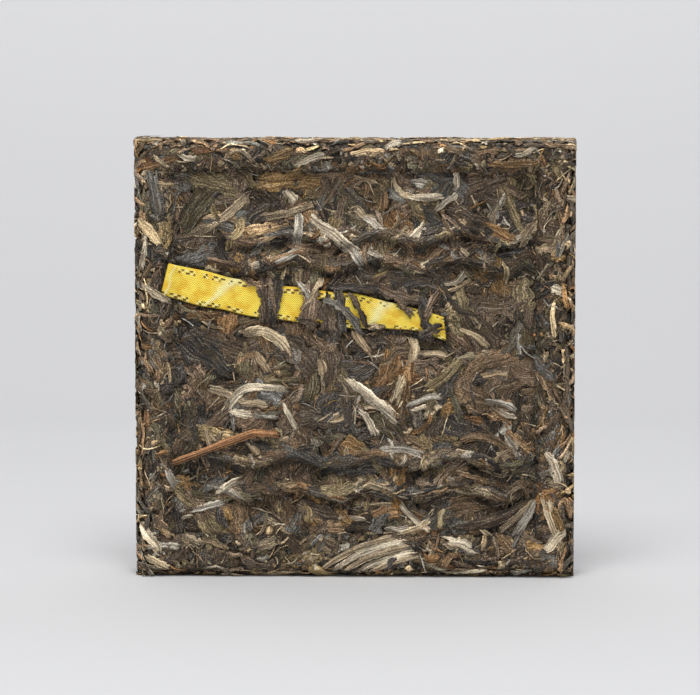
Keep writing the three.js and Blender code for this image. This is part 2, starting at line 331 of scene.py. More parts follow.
    def place(self, side: Side, p: np.ndarray, q: np.ndarray, out: np.ndarray) -> np.ndarray:
        """Turn places on a side, and heights over it, into points.

        On the front p runs along +X and q up, on the back p runs along -X and q up. On
        the four edges p runs along the edge and q from the front's shoulder to the back.
        Along p, along q and outwards make a right-handed set on every side.

        Args:
            side: The side of the brick.
            p: Places along the side's first direction.
            q: Places along its second direction.
            out: Heights over the side.

        Returns:
            Points, with X, Y and Z on the last axis.
        """
        if side is Side.FRONT:
            y = self._recess_floor(p, q) - out - self.swell(p, q)
        elif side is Side.RIM:
            y = self._rim_face(p, q) - out - 0.6 * self.swell(p, q)
        elif side is Side.BACK:
            inward = np.clip(self.inward(p, q), 0, self.back_edge)
            y = self.back - (self.back_edge - inward) + out + self.swell(p, q)
            p = -p
        else:
            return self._place_edge(side, p, q, out)
        x = np.clip(p, -self.half, self.half)
        return np.stack([x, y, np.clip(q, 0, self.height)], axis=-1)

    @property
    def rim_end(self) -> float:
        """How far inside the core's edge the rim's land ends."""
        return self.shoulder_width + self.rim_land

    def _recess_floor(self, p: np.ndarray, q: np.ndarray) -> np.ndarray:
        """Work out where the recess floor and its waves lie; at the rim's wall the floor dives.

        Args:
            p: Places across the front.
            q: Places up the front.

        Returns:
            The place along Y.
        """
        foot = self.rim_end + 0.75 * self.rim_slope
        dive = self.recess_dive * np.clip(foot - self.rim_inward(p, q), 0, 2.0)
        return self.front + self.recess + dive - self.wave_rise(p, q)

    def _rim_face(self, p: np.ndarray, q: np.ndarray) -> np.ndarray:
        """Return where the rim lies along Y.

        It is level on its land, steep at its wall and sunk past the shoulder line.

        Args:
            p: Places across the front.
            q: Places up the front.

        Returns:
            The place along Y.
        """
        inward = self.inward(p, q)
        past_land = self.rim_inward(p, q) - self.rim_end - 0.2
        wall = np.clip(past_land / (0.6 * self.rim_slope), 0, 1.6) * self.recess
        sink = self.rim_sink * np.clip(self.shoulder_width + 0.3 - inward, 0, 3)
        past = np.clip(self.shoulder_width - inward, 0, self.shoulder_width) / self.shoulder_width
        return self.front + wall + sink + self.shoulder_depth * past

    def _place_edge(self, side: Side, p: np.ndarray, q: np.ndarray, out: np.ndarray) -> np.ndarray:
        """Place points on an edge, whose section is the shoulder, the flat and the back's corner.

        Args:
            side: The edge.
            p: Places along it.
            q: Places round its section, from the shoulder's front.
            out: Heights over it.

        Returns:
            Points, with X, Y and Z on the last axis.
        """
        slope = math.hypot(self.shoulder_width, self.shoulder_depth)
        flat_end = slope + (self.back - self.back_edge - self.front - self.shoulder_depth)
        corner = self.back_edge * math.sqrt(2)
        end = flat_end + corner
        stops = np.array([-10.0, 0.0, slope, flat_end, end, end + 10])
        insets = [self.shoulder_width + 10, self.shoulder_width, 0, 0, self.back_edge, self.back_edge + 10]
        depths = [self.front, self.front, self.front + self.shoulder_depth]
        depths += [self.back - self.back_edge, self.back, self.back]
        inset = np.interp(q, stops, insets)
        turns = [-0.6, 0.3 * slope, 0.9 * slope, flat_end, flat_end + 0.6 * corner, end + 0.8]
        turn = np.interp(q, turns, np.radians([0, 48, 90, 90, 135, 180]))
        out = out + self.swell(p, q + 40)
        y = np.interp(q, stops, depths) - np.cos(turn) * out
        reach = self.half - inset + np.sin(turn) * out
        middle = self.height / 2
        rise = middle - inset + np.sin(turn) * out
        x, z = {
            Side.RIGHT: (reach, middle - p), Side.LEFT: (-reach, middle + p),
            Side.TOP: (p, middle + rise), Side.BOTTOM: (-p, middle - rise),
        }[side]
        return np.stack([x, y, z], axis=-1)


@dataclass(frozen=True)
class LeafKind:
    """How one kind of leaf is shaped and coloured.

    Length, width, thickness, layer and headroom are in millimetres, and the layer is the
    height over the side. Bow is a share of the length, and wiggle, curl, crumple and fray
    are shares of the width. Twist is in radians.
    """

    length: tuple[float, float]
    width: tuple[float, float]
    thickness: float
    layer: tuple[float, float]
    tints: tuple[tuple[Tint, float], ...]
    columns: int = 16
    rows: int = 7
    bow: float = 0.18
    wiggle: float = 0.22
    angular: float = 0.45
    twist: float = 0.5
    curl: float = 0.22
    crumple: float = 0.1
    taper: float = 0.4
    flatness: float = 0.7
    ragged: float = 0.16
    narrowing: tuple[float, float] = (0.0, 0.5)
    tip: float = 0.2
    fray: float = 0.18
    seam: float = 0.25
    dent: float = 0.07
    headroom: float = 0.3


@dataclass(frozen=True)
class Shown:
    """A leaf that stands out on the front: where it starts, passes and ends."""

    start: tuple[float, float]
    middle: tuple[float, float]
    end: tuple[float, float]
    width: float
    tint: Tint
    lift: float = 0.45


@dataclass(frozen=True)
class Spread:
    """The leaves of a piece that lie on one side: their number, seed and usual or widest turn."""

    side: Side
    count: int
    seed: int
    turn: float | None = None


@dataclass
class Batch:
    """Leaves of one kind, with one row for each leaf."""

    route: np.ndarray
    width: np.ndarray
    layer: np.ndarray
    tint: np.ndarray
    over_ribbon: bool = False

    @property
    def count(self) -> int:
        """The number of leaves."""
        return len(self.width)

    @property
    def length(self) -> np.ndarray:
        """The rough length of each leaf, along its three points."""
        return np.linalg.norm(np.diff(self.route, axis=1), axis=-1).sum(axis=1)


def math_node(operation: str, swapped: bool = False) -> Callable[..., "Socket"]:
    """Make a method of Socket that adds a Math node.

    Args:
        operation: The node's operation.
        swapped: Whether the other value comes first.

    Returns:
        The method.
    """
    def method(self: "Socket", other: Value = 0.0) -> "Socket":
        """Return the operation's result."""
        first, second = (other, self) if swapped else (self, other)
        return self.shader.node("ShaderNodeMath", {"operation": operation}, {0: first, 1: second})
    return method


@dataclass
class Socket:
    """A shader socket that takes part in plain arithmetic."""

    shader: "Shader"
    link: bpy.types.NodeSocket

    __add__ = math_node("ADD")
    __radd__ = math_node("ADD", swapped=True)
    __sub__ = math_node("SUBTRACT")
    __rsub__ = math_node("SUBTRACT", swapped=True)
    __mul__ = math_node("MULTIPLY")
    __rmul__ = math_node("MULTIPLY", swapped=True)
    sine = math_node("SINE")
    absolute = math_node("ABSOLUTE")

    def between(self, low: float, high: float) -> "Socket":
        """Return a soft rise from 0 to 1 between two values."""
        return self.shader.node("ShaderNodeMapRange", {"interpolation_type": "SMOOTHSTEP"},
                                {"Value": self, "From Min": low, "From Max": high})


class Shader:
    """A material whose node tree is written as expressions."""

    def __init__(self, name: str, roughness: float, specular: float) -> None:
        """Start a material with one Principled BSDF.

        Args:
            name: The material's name.
            roughness: The roughness where nothing is linked to it.
            specular: The specular level, the same all over.
        """
        self.material = bpy.data.materials.new(name)
        self.material.use_nodes = True
        self.tree = self.material.node_tree
        self.surface = self.tree.nodes["Principled BSDF"]
        self.feed("Roughness", roughness)
        self.feed("Specular IOR Level", specular)

    def node(self, kind: str, settings: dict, sockets: dict, output: int | str = 0) -> Socket:
        """Add a node.

        Args:
            kind: The node's type.
            settings: Its properties, set first.
            sockets: Values or links of its inputs, by name or number.
            output: The output to return, by name or number.

        Returns:
            That output.
        """
        node = self.tree.nodes.new(kind)
        for key, value in settings.items():
            setattr(node, key, value)
        for key, value in sockets.items():
            self._put(node.inputs[key], value)
        return Socket(self, node.outputs[output])

    def _put(self, target: bpy.types.NodeSocket, value: "Value | Color") -> None:
        """Give an input a link or a plain value.

        Args:
            target: The input.
            value: What it takes.
        """
        if isinstance(value, Socket):
            self.tree.links.new(value.link, target)
        else:
            target.default_value = value

    def feed(self, name: str, value: "Value | Color") -> None:
        """Give an input of the surface a link or a plain value."""
        self._put(self.surface.inputs[name], value)

    def clear_where(self, mask: Socket) -> None:
        """Let the surface be clear where a mask is 1.

        Args:
            mask: The mask, from 0 to 1.
        """
        clear = self.node("ShaderNodeBsdfTransparent", {}, {})
        surfaces = {0: mask, 1: Socket(self, self.surface.outputs[0]), 2: clear}
        mixed = self.node("ShaderNodeMixShader", {}, surfaces)
        self._put(self.tree.nodes["Material Output"].inputs["Surface"], mixed)

    def uv(self, name: str) -> Socket:
        """Return the coordinates of a UV map."""
        return self.node("ShaderNodeUVMap", {"uv_map": name}, {})

    def objects(self) -> Socket:
        """Return Object coordinates, in metres."""
        return self.node("ShaderNodeTexCoord", {}, {}, "Object")

    def attribute(self, name: str) -> Socket:
        """Return a colour attribute of the mesh."""
        return self.node("ShaderNodeAttribute", {"attribute_name": name}, {}, "Color")

    def stretch(self, vector: Socket, by: tuple[float, float, float]) -> Socket:
        """Return a vector scaled by one number for each axis."""
        return self.node("ShaderNodeVectorMath", {"operation": "MULTIPLY"}, {0: vector, 1: by})

    def parts(self, vector: Socket) -> list[Socket]:
        """Return the X, Y and Z of a vector."""
        split = self.node("ShaderNodeSeparateXYZ", {}, {0: vector}).link.node
        return [Socket(self, output) for output in split.outputs]

    def noise(self, vector: Socket, scale: float, detail: float = 3.0, distortion: float = 0.0) -> Socket:
        """Return a noise from 0 to 1."""
        sockets = {"Vector": vector, "Scale": scale, "Detail": detail, "Distortion": distortion}
        return self.node("ShaderNodeTexNoise", {}, sockets)

    def scale_color(self, color: Socket, by: Socket) -> Socket:
        """Return a colour made lighter or darker by a factor."""
        return self.node("ShaderNodeVectorMath", {"operation": "SCALE"}, {0: color, "Scale": by}, "Vector")

    def mix_color(self, factor: Value, first: Socket | Color, second: Socket | Color) -> Socket:
        """Return a mix of two colours."""
        return self.node("ShaderNodeMix", {"data_type": "RGBA"}, {0: factor, 6: first, 7: second}, 2)

    def bump(self, height: Socket, distance: float, strength: float) -> Socket:
        """Return a normal bent by a height in metres."""
        return self.node("ShaderNodeBump", {}, {"Height": height, "Distance": distance, "Strength": strength})


@dataclass(frozen=True)
class LeafFinish:
    """Dry leaf: its mesh's tint, darker and lighter along its fibres, with fine ridges."""

    name: str
    fibre_pitch: float = 0.36
    fibre_run: float = 5.5
    vein_pitch: float = 1.0
    vein_run: float = 11.0
    lightness: float = 1.84
    fibre_depth: float = 1.3
    grit_depth: float = 1.1
    grit_scale: float = 3300.0
    warm: Color = (0.185, 0.12, 0.05, 1.0)
    warm_share: float = 0.4
    streak: Color = (0.42, 0.36, 0.26, 1.0)
    streak_share: float = 0.7
    roughness: float = 0.62
    specular: float = 0.32
    ridge: float = 0.4
    contrast: tuple[float, float] = (0.34, 0.66)

    def make(self) -> bpy.types.Material:
        """Return the material.

        The grain map runs along and across each leaf in millimetres. Two noises drawn out
        along it give the fibres and the veins, a third the specks and a fourth the patches.
        """
        shader = Shader(self.name, self.roughness, self.specular)
        grain = shader.uv(GRAIN_UV)
        grit = shader.noise(shader.objects(), self.grit_scale, 2.0).between(*self.contrast)
        fine = shader.stretch(grain, (1 / self.fibre_run, 1 / self.fibre_pitch, 1.0))
        fibre = shader.noise(fine, 1.0, 3.0, 0.7).between(*self.contrast)
        wide = shader.stretch(grain, (1 / self.vein_run, 1 / self.vein_pitch, 1.0))
        vein = shader.noise(wide, 1.0, 2.0, 0.5).between(*self.contrast)
        specks = shader.noise(shader.stretch(grain, (1.1, 1.7, 1.0)), 1.6, 4.0).between(*self.contrast)
        patches = shader.noise(shader.stretch(grain, (0.3, 0.6, 1.0)), 1.0, 2.0).between(0.45, 0.68)
        lines = 1 + self.fibre_depth * (fibre - 0.5)
        grains = 1 + self.grit_depth * (grit - 0.5)
        light = self.lightness * lines * grains * (0.76 + 0.2 * vein + 0.3 * specks)
        tint = shader.scale_color(shader.attribute(TINT_AND_LIGHT), light)
        tint = shader.mix_color(patches * self.warm_share, tint, self.warm)
        pale = (0.6 * fibre + 0.4 * grit).between(0.66, 0.95) * vein * self.streak_share
        shader.feed("Base Color", shader.mix_color(pale, tint, self.streak))
        shader.feed("Roughness", self.roughness - 0.14 + 0.3 * specks)
        height = fibre + 0.6 * vein + 0.8 * grit
        shader.feed("Normal", shader.bump(height, self.ridge * MM, 0.9))
        return shader.material


@dataclass(frozen=True)
class CoreFinish:
    """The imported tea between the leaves: small flattened bits in browns and greys."""

    name: str = "packed tea"
    dark: Color = (0.045, 0.036, 0.028, 1.0)
    brown: Color = (0.17, 0.12, 0.075, 1.0)
    grey: Color = (0.16, 0.15, 0.125, 1.0)
    bit_scale: float = 620.0
    grain_scale: float = 2400.0
    roughness: float = 0.8
    specular: float = 0.25
    ridge: float = 0.35

    def make(self) -> bpy.types.Material:
        """Return the material: cells give each bit its own brown or grey, and noise its grain."""
        shader = Shader(self.name, self.roughness, self.specular)
        place = shader.objects()
        bits = {"Vector": shader.stretch(place, (1.0, 1.0, 1.6)), "Scale": self.bit_scale}
        first, second, _ = shader.parts(shader.node("ShaderNodeTexVoronoi", {}, bits, "Color"))
        distance = shader.node("ShaderNodeTexVoronoi", {"feature": "DISTANCE_TO_EDGE"}, bits)
        flat = shader.stretch(place, (1.0, 1.0, 0.4))
        grain = shader.noise(flat, self.grain_scale, 3.0, 0.8).between(0.36, 0.64)
        color = shader.mix_color(first.between(0.2, 0.9), self.brown, self.grey)
        color = shader.mix_color(second.between(0.1, 0.8) * 0.75, color, self.dark)
        edge = 0.35 + 0.65 * distance.between(0.0, 0.12)
        shader.feed("Base Color", shader.scale_color(color, edge * (0.35 + 1.3 * grain)))
        height = distance.between(0.0, 0.2) + 0.5 * grain
        shader.feed("Normal", shader.bump(height, self.ridge * MM, 0.9))
        return shader.material


@dataclass(frozen=True)
class RibbonFinish:
    """Golden woven ribbon with two rows of plain dark dashes near each edge."""

    name: str = "golden ribbon"
    pitch: float = 0.48
    gold: Color = (0.97, 0.74, 0.085, 1.0)
    deep: Color = (0.86, 0.53, 0.03, 1.0)
    # The pale yellow of the painted sheen on the creases and of the printed specks.
    sheen_and_speck: Color = (0.98, 0.90, 0.42, 1.0)
    ink: Color = (0.03, 0.015, 0.012, 1.0)
    ink_share: float = 0.93
    speck_share: float = 0.85
    rows: tuple[float, ...] = (3.2, 2.6, -3.05, -3.6)
    dash_length: float = 1.9
    dash_height: float = 0.42
    roughness: float = 0.5
    specular: float = 0.4
    ridge: float = 0.06

    def make(self) -> bpy.types.Material:
        """Return the material.

        The grain map runs along the ribbon and across it from its middle, in millimetres.
        Two crossed sines make the weave. A sine along the ribbon, cut off away from each
        line of dashes, makes the dashes, and noises shift them and leave many of them out.
        """
        shader = Shader(self.name, self.roughness, self.specular)
        grain = shader.uv(GRAIN_UV)
        along, across, _ = shader.parts(grain)
        turns = 2 * math.pi / self.pitch
        ribs = (across * turns).sine()
        weave = ribs * (along * turns).sine()
        cloud = shader.noise(grain, 0.35, 2.0)
        color = shader.mix_color(cloud.between(0.4, 0.68), self.gold, self.deep)
        fold = shader.parts(shader.attribute(TINT_AND_LIGHT))[0]
        thread = shader.noise(shader.stretch(grain, (0.8, 5.0, 1.0)), 1.0, 2.0)
        # Painted sheen: a pale yellow along the creases, from the mask in the colour attribute.
        color = shader.mix_color(fold * (0.5 + 0.9 * thread), color, self.sheen_and_speck)
        color = shader.scale_color(color, 0.84 + 0.6 * weave + 0.12 * ribs + 0.36 * thread)
        for number, place in enumerate(self.rows):
            dark, pale = self._dashes(shader, grain, place, number)
            color = shader.mix_color(pale, color, self.sheen_and_speck)
            color = shader.mix_color(dark, color, self.ink)
        shader.feed("Base Color", color)
        shader.feed("Normal", shader.bump(weave + 0.5 * ribs, self.ridge * MM, 0.7))
        return shader.material

    def _dashes(self, shader: Shader, grain: Socket, place: float, number: int) -> tuple[Socket, Socket]:
        """Work out one line of dashes.

        Args:
            shader: The ribbon's material.
            grain: Its grain map.
            place: Where the line lies across the ribbon.
            number: The line's number, which shifts its beat.

        Returns:
            Where it is dark, and where pale specks lie between the dashes.
        """
        along, across, _ = shader.parts(grain)
        uneven = shader.noise(shader.stretch(grain, (0.9, 0.0, 1.0)), 1.0, 1.0)
        off = (across - place + 0.25 * (uneven - 0.5)).absolute()
        line = 1.0 - off.between(0.3 * self.dash_height, 0.75 * self.dash_height)
        beat = (along * (2 * math.pi / self.dash_length) + 2.1 * number + 5.0 * uneven).sine()
        kept = shader.noise(shader.stretch(grain, (0.32, 0.02, 1.0)), 1.0, 1.0 + number).between(0.45, 0.5)
        dark = line * beat.between(0.05, 0.35) * kept * self.ink_share
        return dark, line * (0.0 - beat).between(0.4, 0.7) * kept * self.speck_share


@dataclass(frozen=True)
class PlainFinish:
    """The matt paint of the floor and wall, clear from behind so that the wall hides nothing."""

    name: str
    floor: Color
    wall: Color
    roughness: float = 0.9
    specular: float = 0.1

    def make(self) -> bpy.types.Material:
        """Return the material, which turns from the floor's shade to the wall's as it rises."""
        shader = Shader(self.name, self.roughness, self.specular)
        rise = shader.parts(shader.objects())[2].between(0.0, 0.25)
        shader.feed("Base Color", shader.mix_color(rise, self.floor, self.wall))
        shader.clear_where(shader.node("ShaderNodeNewGeometry", {}, {}, "Backfacing"))
        return shader.material


def make_mesh(name: str, points: np.ndarray, quads: np.ndarray) -> bpy.types.Mesh:
    """Make a smooth mesh of four-sided faces.

    Args:
        name: The mesh's name.
        points: Points in millimetres, one to a row.
        quads: Four point numbers to a row, turning so that the face looks outwards.

    Returns:
        The mesh, in metres.
    """
    mesh = bpy.data.meshes.new(name)
    mesh.vertices.add(len(points))
    mesh.vertices.foreach_set("co", (points * MM).astype(np.float32).ravel())
    mesh.loops.add(quads.size)
    mesh.loops.foreach_set("vertex_index", quads.astype(np.int32).ravel())
    mesh.polygons.add(len(quads))
    mesh.polygons.foreach_set("loop_start", np.arange(0, quads.size, 4, dtype=np.int32))
    mesh.polygons.foreach_set("use_smooth", np.ones(len(quads), dtype=bool))
    mesh.update(calc_edges=True)
    return mesh


def set_uv(mesh: bpy.types.Mesh, name: str, corners: np.ndarray) -> None:
    """Give a mesh a UV map, from two numbers for each face corner."""
    layer = mesh.uv_layers.new(name=name, do_init=False)
    layer.uv.foreach_set("vector", corners.astype(np.float32).ravel())


def set_tint(mesh: bpy.types.Mesh, colors: np.ndarray) -> None:
    """Give a mesh its colour attribute, from linear red, green and blue for each point."""
    layer = mesh.color_attributes.new(TINT_AND_LIGHT, "FLOAT_COLOR", "POINT")
    rgba = np.concatenate([colors, np.ones((len(colors), 1))], axis=1)
    layer.data.foreach_set("color", rgba.astype(np.float32).ravel())


def add_piece(mesh: bpy.types.Mesh, material: bpy.types.Material, node: str) -> bpy.types.Object:
    """Put a mesh into the scene as a piece that rides on the brick.

    Args:
        mesh: The mesh, placed in the shared frame.
        material: Its finish.
        node: The CAD node that it stands for.

    Returns:
        The new object.
    """
    mesh.materials.append(material)
    piece = bpy.data.objects.new(mesh.name, mesh)
    bpy.context.scene.collection.objects.link(piece)
    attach(piece, BODY)
    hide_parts(node)
    triangles = sum(len(polygon.vertices) - 2 for polygon in mesh.polygons)
    log.info("%s: %d points, %d triangles", mesh.name, len(mesh.vertices), triangles)
    return piece


def cells(grids: np.ndarray) -> np.ndarray:
    """Gather the four corners of each cell of grids.

    Args:
        grids: Grids, with the grid, the column and the row on the first axes.

    Returns:
        The corners, in turn round each cell, on a new fourth axis.
    """
    corners = [grids[:, :-1, :-1], grids[:, 1:, :-1], grids[:, 1:, 1:], grids[:, :-1, 1:]]
    return np.stack(corners, axis=3)


@dataclass
class Ribbon:
    """The woven ribbon that lies in the recess, under the leaves that cross it."""

    form: BrickForm
    width: float = 8.0
    thickness: float = 0.3
    lift: float = 0.55
    ripple: float = 0.22
    ripple_length: float = 17.0
    start_rise: float = 1.4
    start_reach: float = 4.5
    tip_curl: float = 0.7
    end_narrowing: float = 0.36
    narrowing_span: tuple[float, float] = (0.66, 0.9)
    slack: float = 0.06
    slack_length: float = 23.0
    crease_height: float = 0.12
    creases: tuple[tuple[float, float, float, float], ...] = (
        (12.9, 0.72, 1.0, 0.2), (48.9, 0.45, 1.3, 0.1), (1.3, 0.05, 0.22, 0.0),
    )
    columns: int = 220
    rows: int = 25
    route: tuple[tuple[float, float], ...] = (
        (-43.0, 68.2), (-33.0, 65.7), (-21.9, 63.5), (-12.0, 62.3), (-2.0, 61.2),
        (7.0, 60.1), (14.5, 58.9), (20.5, 56.9),
    )

    def centre(self, count: int) -> tuple[np.ndarray, np.ndarray]:
        """Follow the centre line, a Catmull-Rom curve through the route's points.

        Args:
            count: The number of points.

        Returns:
            Points evenly along it, and the distance to each.
        """
        knots = np.array(self.route)
        knots = np.vstack([2 * knots[0] - knots[1], knots, 2 * knots[-1] - knots[-2]])
        t = np.linspace(0, 1, 40, endpoint=False)[None, :, None]
        a, b, c, d = (knots[i: len(knots) - 3 + i, None, :] for i in range(4))
        bend = (2 * a - 5 * b + 4 * c - d) * t**2
        line = 0.5 * (2 * b + (c - a) * t + bend + (3 * b - a - 3 * c + d) * t**3)
        line = np.vstack([line.reshape(-1, 2), knots[-2]])
        run = np.concatenate([[0.0], np.cumsum(np.linalg.norm(np.diff(line, axis=0), axis=1))])
        distance = np.linspace(0, run[-1], count)
        return np.stack([np.interp(distance, run, line[:, i]) for i in range(2)], axis=-1), distance

    def out(self, distance: np.ndarray, across: np.ndarray, share: np.ndarray) -> np.ndarray:
        """Return the height of the ribbon's middle layer over the recess floor.

        It ripples slowly, climbs the rim's slope at its start and curls at its end.

        Args:
            distance: Distance along the ribbon.
            across: Distance from its centre line.
            share: Distance along it, from 0 to 1.

        Returns:
            The height at each place.
        """
        ripple = self.ripple * np.sin(2 * math.pi * (distance + 0.4 * across) / self.ripple_length)
        curl = self.tip_curl * smooth(0.9, 1.0, share) * np.maximum(across / self.width + 0.2, 0)
        start = self.start_rise * (1 - smooth(0.0, self.start_reach, distance))
        return self.lift + ripple + curl + start

    def cover(self, p: np.ndarray, q: np.ndarray, margin: float = 0.35) -> np.ndarray:
        """Work out where the ribbon covers the front: two soft steps, across and along it.

        Args:
            p: Places across the front.
            q: Places up the front.
            margin: How far past its edges it counts.

        Returns:
            1 where it covers, and 0 away from it.
        """
        line, _ = self.centre(60)
        tangent = np.gradient(line[:, 1], line[:, 0])
        height = np.interp(p, line[:, 0], line[:, 1])
        slope = np.interp(p, line[:, 0], tangent)
        off = np.abs(q - height) / np.sqrt(1 + slope * slope)
        inside = 1 - smooth(self.width / 2 + margin - 0.3, self.width / 2 + margin + 0.3, off)
        start, end = line[0, 0], line[-1, 0]
        ends = smooth(start - 1.0, start - 0.4, p) * (1 - smooth(end + 0.6, end + 1.4, p))
        return inside * ends

    def build(self) -> bpy.types.Object:
        """Build the ribbon as two sheets that share their edges."""
        line, distance = self.centre(self.columns)
        heading = np.gradient(line, axis=0)
        heading = heading / np.linalg.norm(heading, axis=1, keepdims=True)
        share = (distance / distance[-1])[:, None]
        across = np.linspace(-self.width / 2, self.width / 2, self.rows)[None, :]
        run = distance[:, None] + 0 * across
        cut = 0.06 * np.sin(5 * across) - 0.3 * across * smooth(0.93, 1.0, share)
        slack = 1 - self.slack * np.sin(2 * math.pi * run / self.slack_length + 0.8) ** 2
        slack = slack * (1 - self.end_narrowing * smooth(*self.narrowing_span, share))
        side = across * slack
        x = line[:, :1] + heading[:, :1] * cut * (share > 0.9) - heading[:, 1:] * side
        z = line[:, 1:] + heading[:, 1:] * cut * (share > 0.9) + heading[:, :1] * side
        out = self.out(run, across, share) + 0.05 * np.sin(run * 1.7 + across * 0.9) * np.sin(across * 1.1)
        fold = self._crease_and_sheen(run, across)
        out = out + self.crease_height * fold
        y_middle = self.form.front + self.form.recess - out
        taper = (1 - (across / (self.width / 2)) ** 8) * (1 - (2 * share - 1) ** 60)
        top = np.stack([x, y_middle - self.thickness / 2 * taper, z], axis=-1)
        bottom = np.stack([x, y_middle + self.thickness / 2 * taper, z], axis=-1)
        sheet = Envelope(self.columns, self.rows)
        mesh = make_mesh("ribbon_weave", sheet.points(top[None], bottom[None]), sheet.faces(1))
        set_uv(mesh, GRAIN_UV, sheet.corners(run[None], (across + 0 * run)[None]))
        set_uv(mesh, ATLAS_UV, sheet.atlas(1, 7.0))
        # The mask of the painted sheen along the creases, carried in the colour attribute.
        mark = np.clip(0.9 * fold, 0, 1)[..., None] * np.ones(3)
        set_tint(mesh, sheet.points(mark[None], mark[None]))
        return add_piece(mesh, RibbonFinish().make(), "ribbon")

    def _crease_and_sheen(self, run: np.ndarray, across: np.ndarray) -> np.ndarray:
        """Work out how near each place is to a crease, raised a little and painted with a pale sheen: bells
        about leaning lines.

        Each crease has a place where it crosses the middle, a lean, a width and how much
        wider it gets towards the upper edge.

        Args:
            run: Distance along the ribbon.
            across: Distance from its centre line.

        Returns:
            1 on a crease, and 0 away from all.
        """
        total = np.zeros(np.broadcast(run, across).shape)
        for place, lean, wide, growth in self.creases:
            width = wide * (1 + growth * across)
            off = (run - place - lean * across + 0.25 * np.sin(1.3 * across)) / np.maximum(width, 0.15)
            total = total + np.exp(-(off**2))
        return total


@dataclass(frozen=True)
class Envelope:
    """Two grids of points that share their outer rows, so that each leaf is one closed form."""

    columns: int
    rows: int
    under_turn: tuple[int, ...] = (0, 3, 2, 1)
    margin: float = 0.04

    @property
    def inner_count(self) -> int:
        """The number of points of the lower grid alone."""
        return (self.columns - 2) * (self.rows - 2)

    @property
    def point_count(self) -> int:
        """The number of points of one leaf."""
        return self.columns * self.rows + self.inner_count

    def points(self, top: np.ndarray, bottom: np.ndarray) -> np.ndarray:
        """Return the points of all leaves in rows.

        Args:
            top: Upper grids, with the leaf, the column and the row on the first axes.
            bottom: Lower grids alike; only their inner points are used.

        Returns:
            All upper points of a leaf, then its lower inner ones, leaf after leaf.
        """
        count, width = len(top), top.shape[-1]
        upper = top.reshape(count, -1, width)
        lower = bottom[:, 1:-1, 1:-1].reshape(count, -1, width)
        return np.concatenate([upper, lower], axis=1).reshape(-1, width)

    def faces(self, count: int) -> np.ndarray:
        """Return the faces of all leaves: the upper ones look out, the lower ones in.

        Args:
            count: The number of leaves.

        Returns:
            Four point numbers to a row, the upper faces of a leaf before its lower ones.
        """
        upper = np.arange(self.columns * self.rows).reshape(1, self.columns, self.rows)
        lower = upper.copy()
        lower[0, 1:-1, 1:-1] = upper.size + np.arange(self.inner_count).reshape(self.columns - 2, -1)
        under = cells(lower)[..., list(self.under_turn)]
        leaf = np.concatenate([cells(upper).reshape(-1, 4), under.reshape(-1, 4)])
        shift = np.arange(count)[:, None, None] * self.point_count
        return (leaf[None] + shift).reshape(-1, 4)

    def corners(self, u: np.ndarray, v: np.ndarray) -> np.ndarray:
        """Return two values for each face corner, from grids of values.

        Args:
            u: First value on each leaf's grid.
            v: Second value on the same grid.

        Returns:
            The values at the corners of the upper faces, then of the lower faces.
        """
        top = cells(np.stack(np.broadcast_arrays(u, v), axis=-1))
        under = top[..., list(self.under_turn), :]
        both = [side.reshape(len(top), -1, 2) for side in (top, under)]
        return np.concatenate(both, axis=1).reshape(-1, 2)

    def atlas(self, count: int, aspect: float) -> np.ndarray:
        """Return a map that gives each leaf a rectangle of its own.

        The upper face takes the lower half of the rectangle and the lower face the
        upper half, mirrored across the edge that they share.

        Args:
            count: The number of leaves.
            aspect: A leaf's length over twice its width.

        Returns:
            Map coordinates for each face corner.
        """
        across = max(1, round(math.sqrt(count / aspect)))
        high = math.ceil(count / across)
        cell = np.arange(count)
        left = (cell % across)[:, None, None] / across
        low = (cell // across)[:, None, None] / high
        inner = 1 - 2 * self.margin
        u = np.linspace(self.margin, 1 - self.margin, self.columns)[None, :, None] / across + left
        v = np.linspace(0.0, 0.5, self.rows)[None, None, :]
        faces = (self.columns - 1) * (self.rows - 1) * 4
        halves = []
        for half, rise in enumerate((v, 1 - v)):
            both = self.corners(u + 0 * v, (self.margin + inner * rise) / high + low)
            halves.append(both.reshape(count, 2, faces, 2)[:, half])
        return np.stack(halves, axis=1).reshape(-1, 2)


